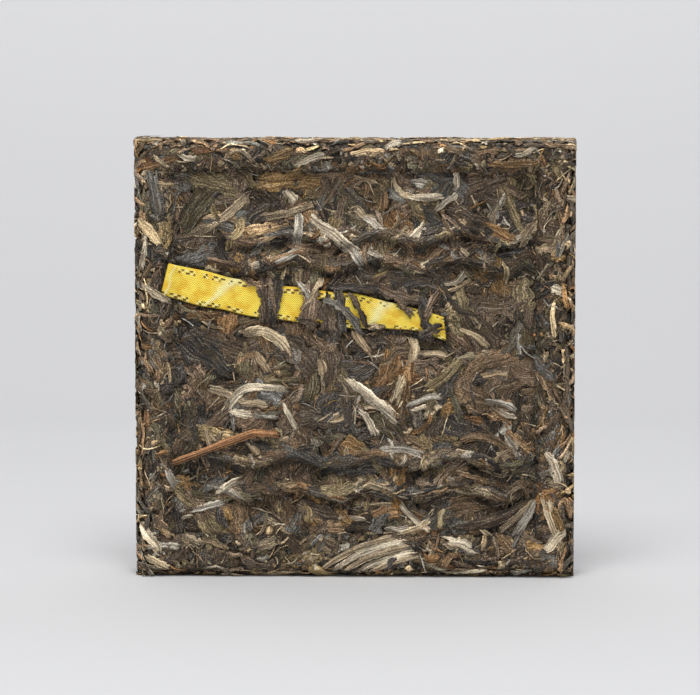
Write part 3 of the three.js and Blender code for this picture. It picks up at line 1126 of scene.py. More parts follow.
@dataclass
class Foliage:
    """Leaves laid on the sides of the brick, each kind as one joined mesh."""

    form: BrickForm
    ribbon: Ribbon
    finish: bpy.types.Material
    # Painted shade on deep leaves.
    sunk_painted_shade: float = 0.2
    limit_step: float = 0.22
    # Painted shade just under the pressed waves.
    under_wave_painted_shade: float = 0.62
    under_side_shade: float = 0.7
    # Pale tea dust and painted light on the four edges: the top, the flanks and the foot.
    dust_and_light: tuple[float, float, float] = (2.26, 1.74, 1.52)
    dust_and_light_color: tuple[float, float, float] = (1.04, 1.0, 0.9)
    side_lift: float = 0.4
    top_room: float = 0.2
    seam_color: tuple[float, float, float] = (0.7, 0.9, 1.0)
    stray: tuple[float, float] = (0.44, 1.62)
    warmth: tuple[float, float, float] = (1.0, 0.1, -0.9)
    brightest: float = 0.4

    def spread(self, kind: LeafKind, spread: Spread) -> Batch:
        """Lay leaves on the rim, or scatter them over another side."""
        lay = self._along_rim if spread.side is Side.RIM else self._scatter
        return lay(kind, spread)

    def _scatter(self, kind: LeafKind, spread: Spread) -> Batch:
        """Spread leaves over a side, one in each cell of a grid.

        Args:
            kind: The kind of leaf.
            spread: The side, the rough number of leaves, the seed and the widest turn away
                from the side's first direction, or none for any turn.

        Returns:
            The leaves.
        """
        rng = np.random.default_rng(spread.seed)
        left, right, low, high = self._area(spread.side)
        across = max(1, round(math.sqrt(spread.count * (right - left) / (high - low))))
        up = max(1, round(spread.count / across))
        cell_p, cell_q = np.meshgrid(np.arange(across), np.arange(up), indexing="ij")
        total = across * up
        p = left + (cell_p.ravel() + rng.uniform(-0.2, 1.2, total)) / across * (right - left)
        q = low + (cell_q.ravel() + rng.uniform(-0.2, 1.2, total)) / up * (high - low)
        heading = rng.uniform(0, 2 * math.pi, total)
        if spread.turn is not None:
            heading = rng.normal(0, spread.turn, total) + math.pi * rng.integers(0, 2, total)
        length = rng.uniform(*kind.length, total) * rng.uniform(0.75, 1.0, total)
        return self._bowed(kind, np.stack([p, q], axis=-1), heading, length, rng)

    def _along_rim(self, kind: LeafKind, spread: Spread) -> Batch:
        """Lay leaves on the rim's land, mostly along it.

        Args:
            kind: The kind of leaf.
            spread: The number on each of the four stretches, the seed and the usual turn
                away from the rim's own direction.

        Returns:
            The leaves.
        """
        rng = np.random.default_rng(spread.seed)
        form, each = self.form, spread.count
        total = 4 * each
        stretch = np.repeat(np.arange(4), each)
        place = np.tile((np.arange(each) + 0.5) / each, 4) + rng.normal(0, 0.4, total) / each
        place = (np.clip(place, 0.02, 0.98) - 0.5) * 2 * (form.half - form.shoulder_width)
        raised = form.recess_raised * np.array([0.0, -1.0, 0.0, 1.0])[stretch]
        span = form.half - rng.uniform(form.shoulder_width + 0.4, form.rim_end + raised, total)
        spots = ((-span, place), (place, span), (span, place), (place, -span))
        spots = np.array([np.stack(spot, axis=-1) for spot in spots])[stretch, np.arange(total)]
        centre = spots + np.array([0.0, form.height / 2])
        heading = np.where(stretch % 2 == 0, math.pi / 2, 0.0) + rng.normal(0, spread.turn, total)
        length = rng.uniform(*kind.length, total) * rng.uniform(0.6, 1.0, total)
        return self._bowed(kind, centre, heading, length, rng)

    def _bowed(self, kind: LeafKind, centre: np.ndarray, heading: np.ndarray, length: np.ndarray,
               rng: np.random.Generator) -> Batch:
        """Draw leaves' bows, and carry each leaf through its middle from end to end.

        Args:
            kind: The kind of leaf.
            centre: Where each leaf lies.
            heading: The angle of each.
            length: The length of each.
            rng: The random draw.

        Returns:
            The leaves.
        """
        bow = (length * rng.uniform(-kind.bow, kind.bow, len(length)))[:, None]
        along = np.stack([np.cos(heading), np.sin(heading)], axis=-1)
        aside = np.stack([-along[:, 1], along[:, 0]], axis=-1)
        reach = along * length[:, None] / 2
        return self._dress(kind, [centre - reach, centre + aside * bow, centre + reach], rng)

    def _dress(self, kind: LeafKind, places: list[np.ndarray], rng: np.random.Generator) -> Batch:
        """Give leaves their width, their layer and a tint that strays a little from its name.

        Args:
            kind: The kind of leaf.
            places: The start, middle and end of each leaf.
            rng: The random draw.

        Returns:
            The leaves.
        """
        total = len(places[0])
        names, weights = zip(*kind.tints)
        chosen = rng.choice(len(names), total, p=np.array(weights) / sum(weights))
        palette = np.array([tint.linear() for tint in names])
        warmth = np.clip(rng.normal(0.035, 0.06, (total, 1)), -0.04, 0.2) * np.array(self.warmth)
        tint = palette[chosen] * rng.uniform(*self.stray, (total, 1)) * (1 + warmth)
        tint = tint * np.minimum(1, self.brightest / tint.max(axis=1, keepdims=True))
        width = rng.uniform(*kind.width, total)
        return Batch(np.stack(places, axis=1), width, rng.uniform(*kind.layer, total), tint)

    def along_waves(self, kind: LeafKind, per_wave: int, seed: int) -> Batch:
        """Lay leaves along the crests of the pressed waves, so that each crest is a bundle.

        Args:
            kind: The kind of leaf.
            per_wave: The number on each wave.
            seed: The seed of the random draw.

        Returns:
            The leaves.
        """
        rng = np.random.default_rng(seed)
        form = self.form
        x = np.tile(np.linspace(form.wave_from + 2, form.wave_to - 2, per_wave), len(form.wave_lines))
        line = np.repeat(form.wave_lines, per_wave)
        x = x + rng.uniform(-1.5, 1.5, len(x))
        reach = rng.uniform(*kind.length, len(x)) / 2
        side = rng.normal(0, 0.28, len(x)) * form.wave_width
        places = []
        for shift in (-reach, 0 * reach, reach):
            z = form.wave_line(line, x + shift) + side + rng.normal(0, 0.6, len(x))
            places.append(np.stack([x + shift, z], axis=-1))
        return self._dress(kind, places, rng)

    def tufts(self, kind: LeafKind, tufts: tuple[tuple[int, float], ...], each: int, seed: int) -> Batch:
        """Lay short leaves in tight tufts on the pressed waves.

        Args:
            kind: The kind of leaf.
            tufts: For each tuft the number of its wave and its place across the brick.
            each: The number of leaves in a tuft.
            seed: The seed of the random draw.

        Returns:
            The leaves.
        """
        rng = np.random.default_rng(seed)
        form = self.form
        total = len(tufts) * each
        across = np.repeat([place for _, place in tufts], each) + rng.normal(0, 1.7, total)
        height = np.repeat([form.wave_lines[number] for number, _ in tufts], each)
        centre = np.stack([across, form.wave_line(height, across) + rng.normal(0.2, 0.8, total)], axis=-1)
        heading = rng.normal(0, 0.8, total)
        length = rng.uniform(*kind.length, total)[:, None]
        reach = length / 2 * np.stack([np.cos(heading), np.sin(heading)], axis=-1)
        middle = centre + rng.normal(0, 0.5, (total, 2))
        return self._dress(kind, [centre - reach, middle, centre + reach], rng)

    @staticmethod
    def shown(leaves: list[Shown], over_ribbon: bool = False) -> Batch:
        """Take leaves as they are listed.

        Args:
            leaves: The listed leaves.
            over_ribbon: Whether they rise over the ribbon where they cross it.

        Returns:
            The leaves.
        """
        route = np.array([[leaf.start, leaf.middle, leaf.end] for leaf in leaves])
        rows = np.array([[leaf.width, leaf.lift, *leaf.tint.linear()] for leaf in leaves])
        return Batch(route, rows[:, 0], rows[:, 1], rows[:, 2:], over_ribbon)

    def _area(self, side: Side) -> tuple[float, float, float, float]:
        """Find the part of a side that leaves are scattered over.

        Args:
            side: The side of the brick.

        Returns:
            The left, right, low and high limits of its own coordinates.
        """
        form = self.form
        if side is Side.FRONT:
            edge, raised = form.rim_end, form.recess_raised
            return edge - form.half, form.half - edge, edge + raised, form.height - edge + raised
        if side is Side.BACK:
            return -form.half, form.half, 0.0, form.height
        return -form.height / 2, form.height / 2, 0.2, form.thickness - 0.6

    def lay(self, name: str, kind: LeafKind, batches: dict[Side, Batch], seed: int) -> bpy.types.Object:
        """Make one joined mesh of all leaves of a kind.

        Args:
            name: The piece's name.
            kind: The kind of leaf.
            batches: The leaves on each side.
            seed: The seed of the leaves' own unevenness.

        Returns:
            The piece.
        """
        rng = np.random.default_rng(seed)
        envelope = Envelope(kind.columns, kind.rows)
        shapes = [self._shape(kind, side, batch, rng) for side, batch in batches.items()]
        points = [envelope.points(top, bottom) for top, bottom, *_ in shapes]
        colors = [envelope.points(tint, tint * self.under_side_shade) for _, _, tint, *_ in shapes]
        run, off = (np.concatenate([shape[i] for shape in shapes]) for i in (3, 4))
        length = np.concatenate([batch.length for batch in batches.values()])
        width = np.concatenate([batch.width for batch in batches.values()])
        mesh = make_mesh(name, np.concatenate(points), envelope.faces(len(width)))
        set_uv(mesh, GRAIN_UV, envelope.corners(run, off))
        set_uv(mesh, ATLAS_UV, envelope.atlas(len(width), float(np.mean(length) / np.mean(width) / 2)))
        set_tint(mesh, np.concatenate(colors))
        return add_piece(mesh, self.finish, "brick")

    def _shape(self, kind: LeafKind, side: Side, batch: Batch, rng: np.random.Generator) -> tuple:
        """Work out the grids of a batch of leaves.

        A leaf follows a quadratic curve through its route. Its half width is a power of
        4u(1 - u), made ragged by a sine. Its section is a shallow parabola with two
        crumpling sines, turned about the leaf's line by a slowly changing angle, pressed
        flat and laid on the side. Its thickness fades to nothing at its edges and ends.

        Args:
            kind: The kind of leaf.
            side: The side of the brick.
            batch: The leaves.
            rng: The random draw.

        Returns:
            The upper and lower points, the tint with painted shade and light in it, and the grain's two
            coordinates.
        """
        n = batch.count
        u = np.linspace(0, 1, kind.columns)[None, :, None]
        v = np.sin(np.linspace(-math.pi / 2, math.pi / 2, kind.rows))[None, None, :]

        def draw(low: float, high: float) -> np.ndarray:
            """Draw one number for each leaf."""
            return rng.uniform(low, high, n)[:, None, None]

        start, middle, end = (batch.route[:, i, None, :] for i in range(3))
        bent = (1 - u) ** 2 * start + 2 * u * (1 - u) * middle + u**2 * end
        knee = start + (middle - start) * np.minimum(2 * u, 1) + (end - middle) * np.maximum(2 * u - 1, 0)
        line = bent + np.where(draw(0, 1) < kind.angular, 0.75, 0.0) * (knee - bent)
        slope = np.gradient(line, axis=1)
        slope = slope / np.linalg.norm(slope, axis=-1, keepdims=True)
        width, length = batch.width[:, None, None], batch.length[:, None, None]
        wiggle = kind.wiggle * width * draw(-1, 1) * sine(draw(0.7, 2.2) * u + draw(0, 1))
        outline = np.clip(4 * u * (1 - u), 0, 1) ** (kind.taper * draw(0.4, 1.6))
        outline = kind.tip + (1 - kind.tip) * outline * (1 - draw(*kind.narrowing) * (u - 0.5))
        tear = kind.ragged * np.sin(2 * math.pi * (draw(1.5, 4.5) * u + draw(0, 1)) + v * draw(0.4, 2.2))
        tear = tear + 0.7 * kind.ragged * rng.normal(0, 1, (n, kind.columns, 1)) * v**2
        reach = width / 2 * outline * (1 + tear)
        section = kind.curl * np.where(draw(0, 1) < 0.78, 1.0, -0.8) * (0.4 - v * v)
        crumple = np.sin(draw(2.0, 4.5) * v + draw(0, 6) + 2 * math.pi * draw(0.3, 1.6) * u)
        fold = draw(4.5, 8.0) * v + draw(0, 6) - 2 * math.pi * draw(1, 3) * u
        section = section + kind.crumple * crumple + 0.9 * kind.crumple * (np.abs(np.sin(fold)) - 0.6)
        dents = kind.dent * rng.normal(0, 1, (n, kind.columns, kind.rows)) / width
        rise = width * (section + dents) * outline
        angle = kind.twist * (draw(-1, 1) + draw(-1, 1) * sine(draw(0.4, 1.1) * u + draw(0, 1)))
        angle = np.clip(angle, -1.15, 1.15)
        across = v * reach * np.cos(angle) - rise * np.sin(angle) + wiggle
        height = kind.flatness * (v * reach * np.sin(angle) + rise * np.cos(angle))
        room = np.where(height > 0, kind.headroom, 0.9)
        tilt = draw(-0.28, 0.28) * (u - 0.5) - 0.4 * np.abs(2 * u - 1) ** 3
        out = batch.layer[:, None, None] + room * np.tanh(height / room) + tilt
        if side in (Side.LEFT, Side.RIGHT):
            out = out + self.side_lift
        torn = kind.fray * width * rng.normal(0, 1, (n, 2, kind.rows))
        torn = torn[:, :1] * (1 - u) ** 12 + torn[:, 1:] * u**12
        p = line[:, :, :1] - slope[:, :, 1:] * across + slope[:, :, :1] * torn
        q = line[:, :, 1:] + slope[:, :, :1] * across + slope[:, :, 1:] * torn
        if batch.over_ribbon:
            out = out + self.ribbon.cover(p, q, 1.0)
        elif side in (Side.FRONT, Side.RIM):
            out = out - self.ribbon.cover(p, q) * np.maximum(out + 0.75, 0)
        half_thick = kind.thickness / 2 * (1 - v**6) * (1 - (2 * u - 1) ** 8)
        top = self._bound(self.form.place(side, p, q, out + half_thick), 0.0)
        bottom = self._bound(self.form.place(side, p, q, out - half_thick), 0.08)
        # Each leaf's edges are made lighter or darker, partly pale worn lines and partly painted light, and a
        # painted shade runs across the leaf from edge to edge.
        worn_edge_and_painted_light = 1 + smooth(0.84, 1.0, np.abs(v)) * np.where(v > 0, draw(-0.7, 1.4), draw(-0.8, 1.1))
        worn_edge_and_painted_light = worn_edge_and_painted_light * (1 + 0.28 * v * draw(-1, 1))
        run_light = 1 + 0.22 * sine(draw(0.3, 1.3) * u + draw(0, 1))
        seam = np.exp(-(((v - draw(-0.7, 0.7)) / 0.16) ** 2)) * (0.5 + 0.5 * np.sin(4 * u + draw(0, 6)))
        seam = kind.seam * seam[..., None] * np.array(self.seam_color)
        # The tint takes the painted shade and light, the seam, and the dust and painted light of the edges.
        shade = self._painted_light_and_patches(side, p, q, out) * worn_edge_and_painted_light * run_light
        tint = batch.tint[:, None, None, :] * shade[..., None] * (1 - seam) * self._dust_and_light_on(side)
        run = u * length + draw(0, 400) + 0 * v
        off = v * width / 2 + draw(0, 400) + 0 * u
        return top, bottom, tint, run, off

    def _painted_light_and_patches(self, side: Side, p: np.ndarray, q: np.ndarray, out: np.ndarray) -> np.ndarray:
        """Work out how light leaves are: a painted shade by their depth, and on the front and rim soft
        patches and painted light and shade by their place.

        Args:
            side: The side of the brick.
            p: Places along the side's first direction.
            q: Places along its second direction.
            out: Heights over the side.

        Returns:
            A factor at each place.
        """
        # Painted shade: deeper leaves are darker, and on the front also the leaves just under each wave.
        light = self.sunk_painted_shade + (1 - self.sunk_painted_shade) * smooth(-0.75, 0.35, out)
        if side is Side.FRONT:
            light = light * self.form.mood(p, q) * (1 - self.under_wave_painted_shade * self.form.painted_wave_shade(p, q))
        elif side is Side.RIM:
            light = light * self.form.rim_mood(p, q)
        return light

    def _dust_and_light_on(self, side: Side) -> np.ndarray:
        """Find how much lighter a side is made: only the four edges, by pale tea dust and painted light, the
        top most, painted as if lit from above.

        Args:
            side: The side of the brick.

        Returns:
            A factor for red, green and blue.
        """
        if side in (Side.FRONT, Side.RIM, Side.BACK):
            return np.ones(3)
        # Painted light and pale dust: the top edge most, then the flanks, then the foot.
        above, flank, foot = self.dust_and_light
        return {Side.TOP: above, Side.BOTTOM: foot}.get(side, flank) * np.array(self.dust_and_light_color)

    def _bound(self, points: np.ndarray, deeper: float) -> np.ndarray:
        """Press points into the brick's outline, each leaf to a slightly different plane.

        Args:
            points: Points, with the leaf on the first axis.
            deeper: How much further in the planes lie.

        Returns:
            The points, none of them past its plane.
        """
        form = self.form
        planes = np.random.default_rng(len(points)).uniform(0.01, self.limit_step, len(points))
        step = planes[:, None, None] + deeper
        x = np.clip(points[..., 0], -form.side / 2 + step / 2, form.side / 2 - step / 2)
        y = np.clip(points[..., 1], -form.thickness / 2 + step, form.thickness / 2 - step)
        z = np.clip(points[..., 2], step, form.side - self.top_room - step)
        return np.stack([x, y, z], axis=-1)


@dataclass
class PackedCore:
    """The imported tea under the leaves: the brick's form, a little smaller, with fine relief."""

    form: BrickForm
    inset: float = 0.42
    columns: int = 110
    rings: int = 10
    relief: float = 0.05
    relief_waves: int = 14

    def build(self) -> bpy.types.Object:
        """Build the core: a front grid, a back grid and rings between their outer rows."""
        form, n = self.form, self.columns
        grid = np.linspace(-1, 1, n)
        a, b = np.meshgrid(grid, grid, indexing="ij")
        x = a * (form.half - self.inset)
        z = form.height / 2 + b * (form.height / 2 - self.inset)
        depth = form.front_depth(x, z) - form.wave_rise(x, z)
        front = np.stack([x, form.front + self.inset + depth - self._relief(x, z), z], axis=-1)
        back = np.stack([x, form.back - self.inset + 0 * x + self._relief(x + 31, z), z], axis=-1)
        front, back = front.reshape(-1, 3), back.reshape(-1, 3)
        numbers = np.arange(n * n).reshape(n, n)
        loop = np.concatenate([numbers[:-1, 0], numbers[-1, :-1], numbers[:0:-1, -1], numbers[0, :0:-1]])
        share = np.linspace(0, 1, self.rings + 1)[1:-1, None, None]
        rings = (front[loop] * (1 - share) + back[loop] * share).reshape(-1, 3)
        ahead = cells(numbers[None]).reshape(-1, 4)
        behind = ahead[:, ::-1] + n * n + len(rings)
        between = n * n + np.arange(len(rings)).reshape(-1, len(loop))
        rows = np.vstack([loop, between, loop + n * n + len(rings)])
        walls = cells(np.hstack([rows, rows[:, :1]])[None]).reshape(-1, 4)
        mesh = make_mesh("packed_core", np.concatenate([front, rings, back]),
                         np.concatenate([ahead, behind, walls]))
        set_uv(mesh, ATLAS_UV, self._atlas(ahead, *rows.shape))
        return add_piece(mesh, CoreFinish().make(), "brick")

    def _relief(self, x: np.ndarray, z: np.ndarray) -> np.ndarray:
        """Work out the core's fine unevenness: seeded sines in many directions.

        Args:
            x: Places across the brick.
            z: Places up the brick.

        Returns:
            The height at each place.
        """
        rng = np.random.default_rng(11)
        total = np.zeros(x.shape)
        for _ in range(self.relief_waves):
            turn, phase = rng.uniform(0, 2 * math.pi, 2)
            rate = rng.uniform(0.7, 2.4)
            total = total + np.sin(rate * (x * math.cos(turn) + z * math.sin(turn)) + phase)
        return self.relief * total

    def _atlas(self, front: np.ndarray, rows: int, around: int) -> np.ndarray:
        """Lay out the front and the back side by side, and the walls above them.

        Args:
            front: The point numbers of the front's faces.
            rows: The number of rings, with the front's and the back's outer rows.
            around: The number of points round a ring.

        Returns:
            Map coordinates for each face corner.
        """
        n = self.columns
        u, v = (front // n) / (n - 1), (front % n) / (n - 1)
        ahead = np.stack([0.01 + 0.47 * u, 0.01 + 0.47 * v], axis=-1)
        behind = (ahead + np.array([0.5, 0.0]))[:, ::-1]
        ring, step = np.meshgrid(np.arange(rows) / (rows - 1), np.arange(around + 1) / around, indexing="ij")
        walls = cells(np.stack([0.01 + 0.98 * step, 0.55 + 0.4 * ring], axis=-1)[None])
        return np.concatenate([part.reshape(-1, 2) for part in (ahead, behind, walls)])


DARK_TINTS = ((COAL, 2.6), (SLATE, 1.8), (PEAT, 2.8), (BARK, 3.0), (MOSS, 1.6), (UMBER, 1.2), (TAN, 0.35))
BROWN_TINTS = ((PEAT, 2.2), (BARK, 3.0), (UMBER, 1.8), (OLIVE, 1.4), (MOSS, 1.6), (RUST, 0.5), (COAL, 1.4),
               (AMBER, 0.4), (SLATE, 1.0))
MIXED_TINTS = ((COAL, 2.0), (PEAT, 2.2), (BARK, 2.4), (SLATE, 1.8), (OLIVE, 1.2), (TAN, 1.2), (RUST, 0.5),
               (STRAW, 0.35), (SILVER, 0.4))
FIBRE_TINTS = ((TAN, 2.0), (SILVER, 1.6), (STRAW, 1.2), (CREAM, 0.8), (RUST, 0.6), (COAL, 1.6), (AMBER, 0.6))
PALE_TINTS = ((TAN, 2.6), (STRAW, 1.2), (SILVER, 2.2), (CREAM, 0.5), (OLIVE, 1.2))

BLADE = LeafKind((8, 19), (3.6, 7.8), 0.3, (-0.3, 0.16), BROWN_TINTS, columns=12, rows=7,
                 twist=0.08, curl=0.03, crumple=0.035, taper=0.2, flatness=0.9, wiggle=0.08, bow=0.1)
STRIP = LeafKind((7, 17), (1.7, 4.0), 0.3, (-0.28, 0.2), DARK_TINTS, columns=14, rows=7, bow=0.12, wiggle=0.1,
                 angular=0.3, twist=0.35, curl=0.1, crumple=0.08, taper=0.22, headroom=0.22)
SHRED = LeafKind((4, 11), (0.6, 1.6), 0.28, (-0.15, 0.3), MIXED_TINTS, columns=9, rows=4,
                 bow=0.2, wiggle=0.14, twist=0.5, curl=0.18, crumple=0.14, taper=0.2, headroom=0.24)
BUD = LeafKind((6, 12), (1.2, 2.6), 0.4, (0.0, 0.3), PALE_TINTS, columns=14, rows=7, bow=0.12, wiggle=0.1,
               twist=0.35, curl=0.16, crumple=0.08, taper=0.2, ragged=0.1, narrowing=(-1.2, 0.6),
               headroom=0.26)
FIBRE = LeafKind((2.5, 8), (0.22, 0.46), 0.12, (0.0, 0.4), FIBRE_TINTS, columns=8, rows=3,
                 bow=0.25, wiggle=0.4, twist=0.3, curl=0.2, crumple=0.05, taper=0.2, headroom=0.3)
CRUMB = LeafKind((0.8, 3.2), (0.5, 1.7), 0.25, (-0.1, 0.3), MIXED_TINTS, columns=5, rows=4,
                 twist=0.5, curl=0.2, crumple=0.12, taper=0.25, ragged=0.3, headroom=0.24)
EDGE_STRIP = replace(STRIP, length=(4, 11), width=(0.8, 2.0), columns=11, rows=5)
RIM_STRIP = replace(STRIP, length=(5, 13), width=(1.4, 3.2), layer=(-0.25, 0.18),
                    tints=STRIP.tints + PALE_TINTS[:2])
RIM_BLADE = replace(BLADE, length=(6, 13), width=(3.0, 5.6), layer=(-0.35, 0.05))
RIM_SHRED = replace(SHRED, length=(3, 9), layer=(-0.1, 0.3))
RIM_CRUMB = replace(CRUMB, tints=MIXED_TINTS + PALE_TINTS)
WAVE_STRIP = replace(STRIP, length=(5, 12), width=(1.2, 2.7), layer=(0.0, 0.45),
                     tints=STRIP.tints + PALE_TINTS[:3])
TUFT_STRIP = replace(SHRED, length=(2.5, 6.5), width=(0.8, 1.7), layer=(0.1, 0.65),
                     tints=PALE_TINTS + ((BARK, 2.0), (RUST, 0.9), (COAL, 1.0)))
SHOWN_BUD = replace(BUD, columns=24, rows=9, twist=0.16, taper=0.16, angular=0.0, wiggle=0.07, curl=0.08,
                    dent=0.04, narrowing=(-1.1, -0.2), tip=0.45, fray=0.34, seam=0.75)
SHOWN_LEAF = replace(SHOWN_BUD, narrowing=(-0.3, 0.5))
SHOWN_BLADE = replace(BLADE, columns=20, rows=13, angular=0.0)
CROSSING_LEAF = replace(SHOWN_BUD, twist=0.1, ragged=0.22, narrowing=(-0.4, 0.4))
TWIG = replace(BUD, columns=40, rows=9, twist=0.05, curl=0.3, crumple=0.05, taper=0.3, thickness=1.2,
               ragged=0.1, tip=0.16, fray=0.12, seam=0.6, narrowing=(-0.5, -0.2), headroom=0.5, angular=1.0,
               wiggle=0.06, dent=0.05)


def edges(count: int, seed: int) -> tuple[Spread, ...]:
    """Return equal spreads on the four edges, more turned on the two that stand upright."""
    turns = ((Side.LEFT, 0.9), (Side.RIGHT, 0.9), (Side.TOP, 0.3), (Side.BOTTOM, 0.3))
    return tuple(Spread(side, count, seed + number, turn) for number, (side, turn) in enumerate(turns))


# A row for each scattered piece: its name, its kind, the seed of its unevenness and its spreads.
SCATTERED = (
    ("blades", BLADE, 31, (Spread(Side.FRONT, 320, 21), Spread(Side.BACK, 190, 121))),
    ("strips_front", STRIP, 32, (Spread(Side.FRONT, 210, 22),)),
    ("strips_back", STRIP, 33, (Spread(Side.BACK, 205, 23),)),
    ("strips_edges", EDGE_STRIP, 34, edges(80, 224)),
    ("rim_strips", RIM_STRIP, 43, (Spread(Side.RIM, 38, 29, 0.7),)),
    ("rim_blades", RIM_BLADE, 44, (Spread(Side.RIM, 46, 30, 1.0),)),
    ("rim_shreds", RIM_SHRED, 45, (Spread(Side.RIM, 64, 31, 1.0),)),
    ("shreds", SHRED, 35, (Spread(Side.FRONT, 130, 25), Spread(Side.BACK, 200, 125), *edges(120, 225))),
    ("crumbs", CRUMB, 36, (Spread(Side.FRONT, 330, 26), Spread(Side.BACK, 240, 126), *edges(240, 226))),
    ("rim_crumbs", RIM_CRUMB, 53, (Spread(Side.RIM, 130, 52, 1.5),)),
    ("fibres", FIBRE, 47, (Spread(Side.FRONT, 760, 46), Spread(Side.BACK, 160, 146), *edges(70, 246))),
    ("rim_fibres", FIBRE, 49, (Spread(Side.RIM, 75, 48, 0.8),)),
)
SCATTERED_BUDS = (Spread(Side.FRONT, 60, 28), Spread(Side.BACK, 55, 128), *edges(8, 228))


def listed(*rows: tuple) -> list[Shown]:
    """Return leaves from rows of three places, a width, a tint and perhaps a lift."""
    return [Shown(row[:2], row[2:4], row[4:6], *row[6:]) for row in rows]


# Rows of listed leaves: the start, middle and end as x and z, the width, the tint and perhaps the lift.
SHOWN_PALE = listed(
    (-47.2, 79, -47.9, 74.1, -48.8, 69.8, 1.9, CREAM), (-13, 84.4, -12, 79.6, -13.6, 75, 2.1, SILVER),
    (-10.6, 82.6, -5.4, 78.8, 1.4, 73.2, 2.7, CREAM), (-2, 76.2, 0.4, 74.2, 2.2, 70.8, 2.2, SILVER, 0.35),
    (-18.2, 71.8, -15.2, 73.6, -12, 74.8, 1.9, SILVER),
    (-23.8, 73, -22, 75.4, -20.2, 76.4, 1.8, SILVER, 0.35), (8.6, 91.8, 9.4, 86.8, 13.6, 87, 1.3, STRAW),
    (12.2, 87.2, 15.4, 86.2, 20.2, 87.4, 1.7, CREAM),
    (12.8, 89.8, 14.6, 90.6, 16.4, 89.2, 2.4, SILVER, 0.3), (22.6, 93.4, 23.4, 91, 22.9, 88.4, 1.5, CREAM),
    (35.4, 96.4, 39.8, 96.4, 40.4, 99, 1.3, CREAM), (-13.6, 93.8, -10.4, 95.7, -6.4, 96.6, 1.4, CREAM),
    (-39.4, 96.6, -38.2, 95.4, -35.4, 95.6, 1.3, CREAM), (1, 82, 3, 82.8, 6, 78.8, 1.9, SILVER, 0.35),
    (16.4, 81.2, 14.4, 79, 12.2, 76.6, 1.9, CREAM, 0.35), (19.8, 67.4, 23.4, 66.6, 24.9, 70, 1.3, CREAM),
    (23.4, 76, 25, 74.4, 26.6, 72.8, 1, STRAW), (44.3, 66.6, 45.8, 66.2, 47.3, 65.4, 2.1, CREAM),
    (-1.6, 45.2, 4, 41.4, 10.2, 35.4, 2.5, CREAM), (0.6, 38.6, 3, 37.2, 4.8, 32.2, 1.7, CREAM),
    (11.4, 46.6, 9.8, 43.4, 9, 39.8, 2.3, STRAW), (12, 39.2, 15.4, 41.4, 20.4, 41.6, 1.4, SILVER),
    (12.6, 38, 14.4, 38.6, 16.6, 39.4, 1, CREAM), (29.4, 40.4, 34.4, 40.6, 37.2, 37.8, 1.4, SILVER),
    (37.4, 38, 36.4, 35.6, 32.2, 38.8, 1.3, CREAM, 0.35), (-29, 39.2, -26.4, 45.6, -15, 42.6, 1.9, CREAM),
    (-28.6, 38, -27.4, 40.6, -25.2, 42, 1, CREAM), (-28.6, 37.6, -25.6, 37.9, -22.6, 36.8, 1.9, CREAM),
    (-23.2, 37.4, -20.4, 36.2, -17.2, 37, 1.4, SILVER), (-16.4, 40, -14.8, 36.8, -13, 33.6, 1.2, CREAM),
    (-24.6, 55.8, -18, 57.8, -14.4, 50.4, 2.5, STRAW), (8.9, 57, 16.6, 56, 11.9, 47.4, 2.1, STRAW),
    (-42.4, 25.2, -42, 21, -38.4, 18.2, 1.6, SILVER), (-31.4, 18.8, -29.6, 20.8, -26.6, 22, 1.5, CREAM),
    (-37.4, 15, -33, 16.2, -29.6, 17.2, 1.5, SILVER), (-39.6, 12.8, -38.4, 14.2, -37.2, 13.6, 0.9, CREAM),
    (-20.2, 15.2, -19.6, 9.8, -23.8, 8.6, 0.7, TAN), (5.6, 29.4, 12.6, 30.8, 20.8, 24.8, 1.9, SILVER),
    (0, 22.8, 5, 21.4, 10.4, 19, 2, TAN), (10.2, 17.4, 12.2, 13.8, 17, 10.6, 1.6, CREAM),
    (3, 16.4, 5.6, 17, 8.8, 16.6, 0.8, STRAW), (-7.4, 1.8, 0.4, 8.4, 9.8, 9, 1.5, TAN),
    (-5.2, 1.3, 1.8, 7.2, 11.6, 8.2, 1.5, CREAM), (-2.8, 1, 4, 6.2, 12.8, 7, 1.5, TAN),
    (0.2, 0.9, 6, 4.8, 13.8, 6, 1.4, CREAM), (3.2, 1, 8.4, 4, 14.8, 5, 1.3, TAN),
    (8.6, 9.2, 12.4, 9.8, 17.6, 13.4, 1.4, STRAW), (-8.8, 3, -9.4, 1.6, -7.4, 1, 1.1, CREAM),
    (20.2, 8.6, 24, 7.8, 28, 6.4, 2.7, CREAM), (28.4, 11.4, 30.2, 9.8, 32.6, 8, 1.2, STRAW),
    (42.2, 18.6, 38.8, 13.4, 35.4, 7.6, 1.9, SILVER), (41.4, 18.2, 37, 13.6, 33, 10.6, 1.5, TAN),
    (42.8, 18.8, 44.4, 12.6, 47, 7.6, 1.5, TAN), (43.8, 28.4, 46, 25.4, 46.4, 21.2, 2.3, CREAM),
    (43.4, 29, 44.4, 27.6, 45.4, 27.8, 1.8, CREAM), (43.6, 18, 44.6, 16.8, 45, 14.8, 1.8, STRAW),
    (-47.8, 4.8, -45, 3.4, -42, 1.8, 1.6, STRAW), (-47.8, 6.6, -44, 7.8, -39.8, 6.8, 1.5, SILVER),
)
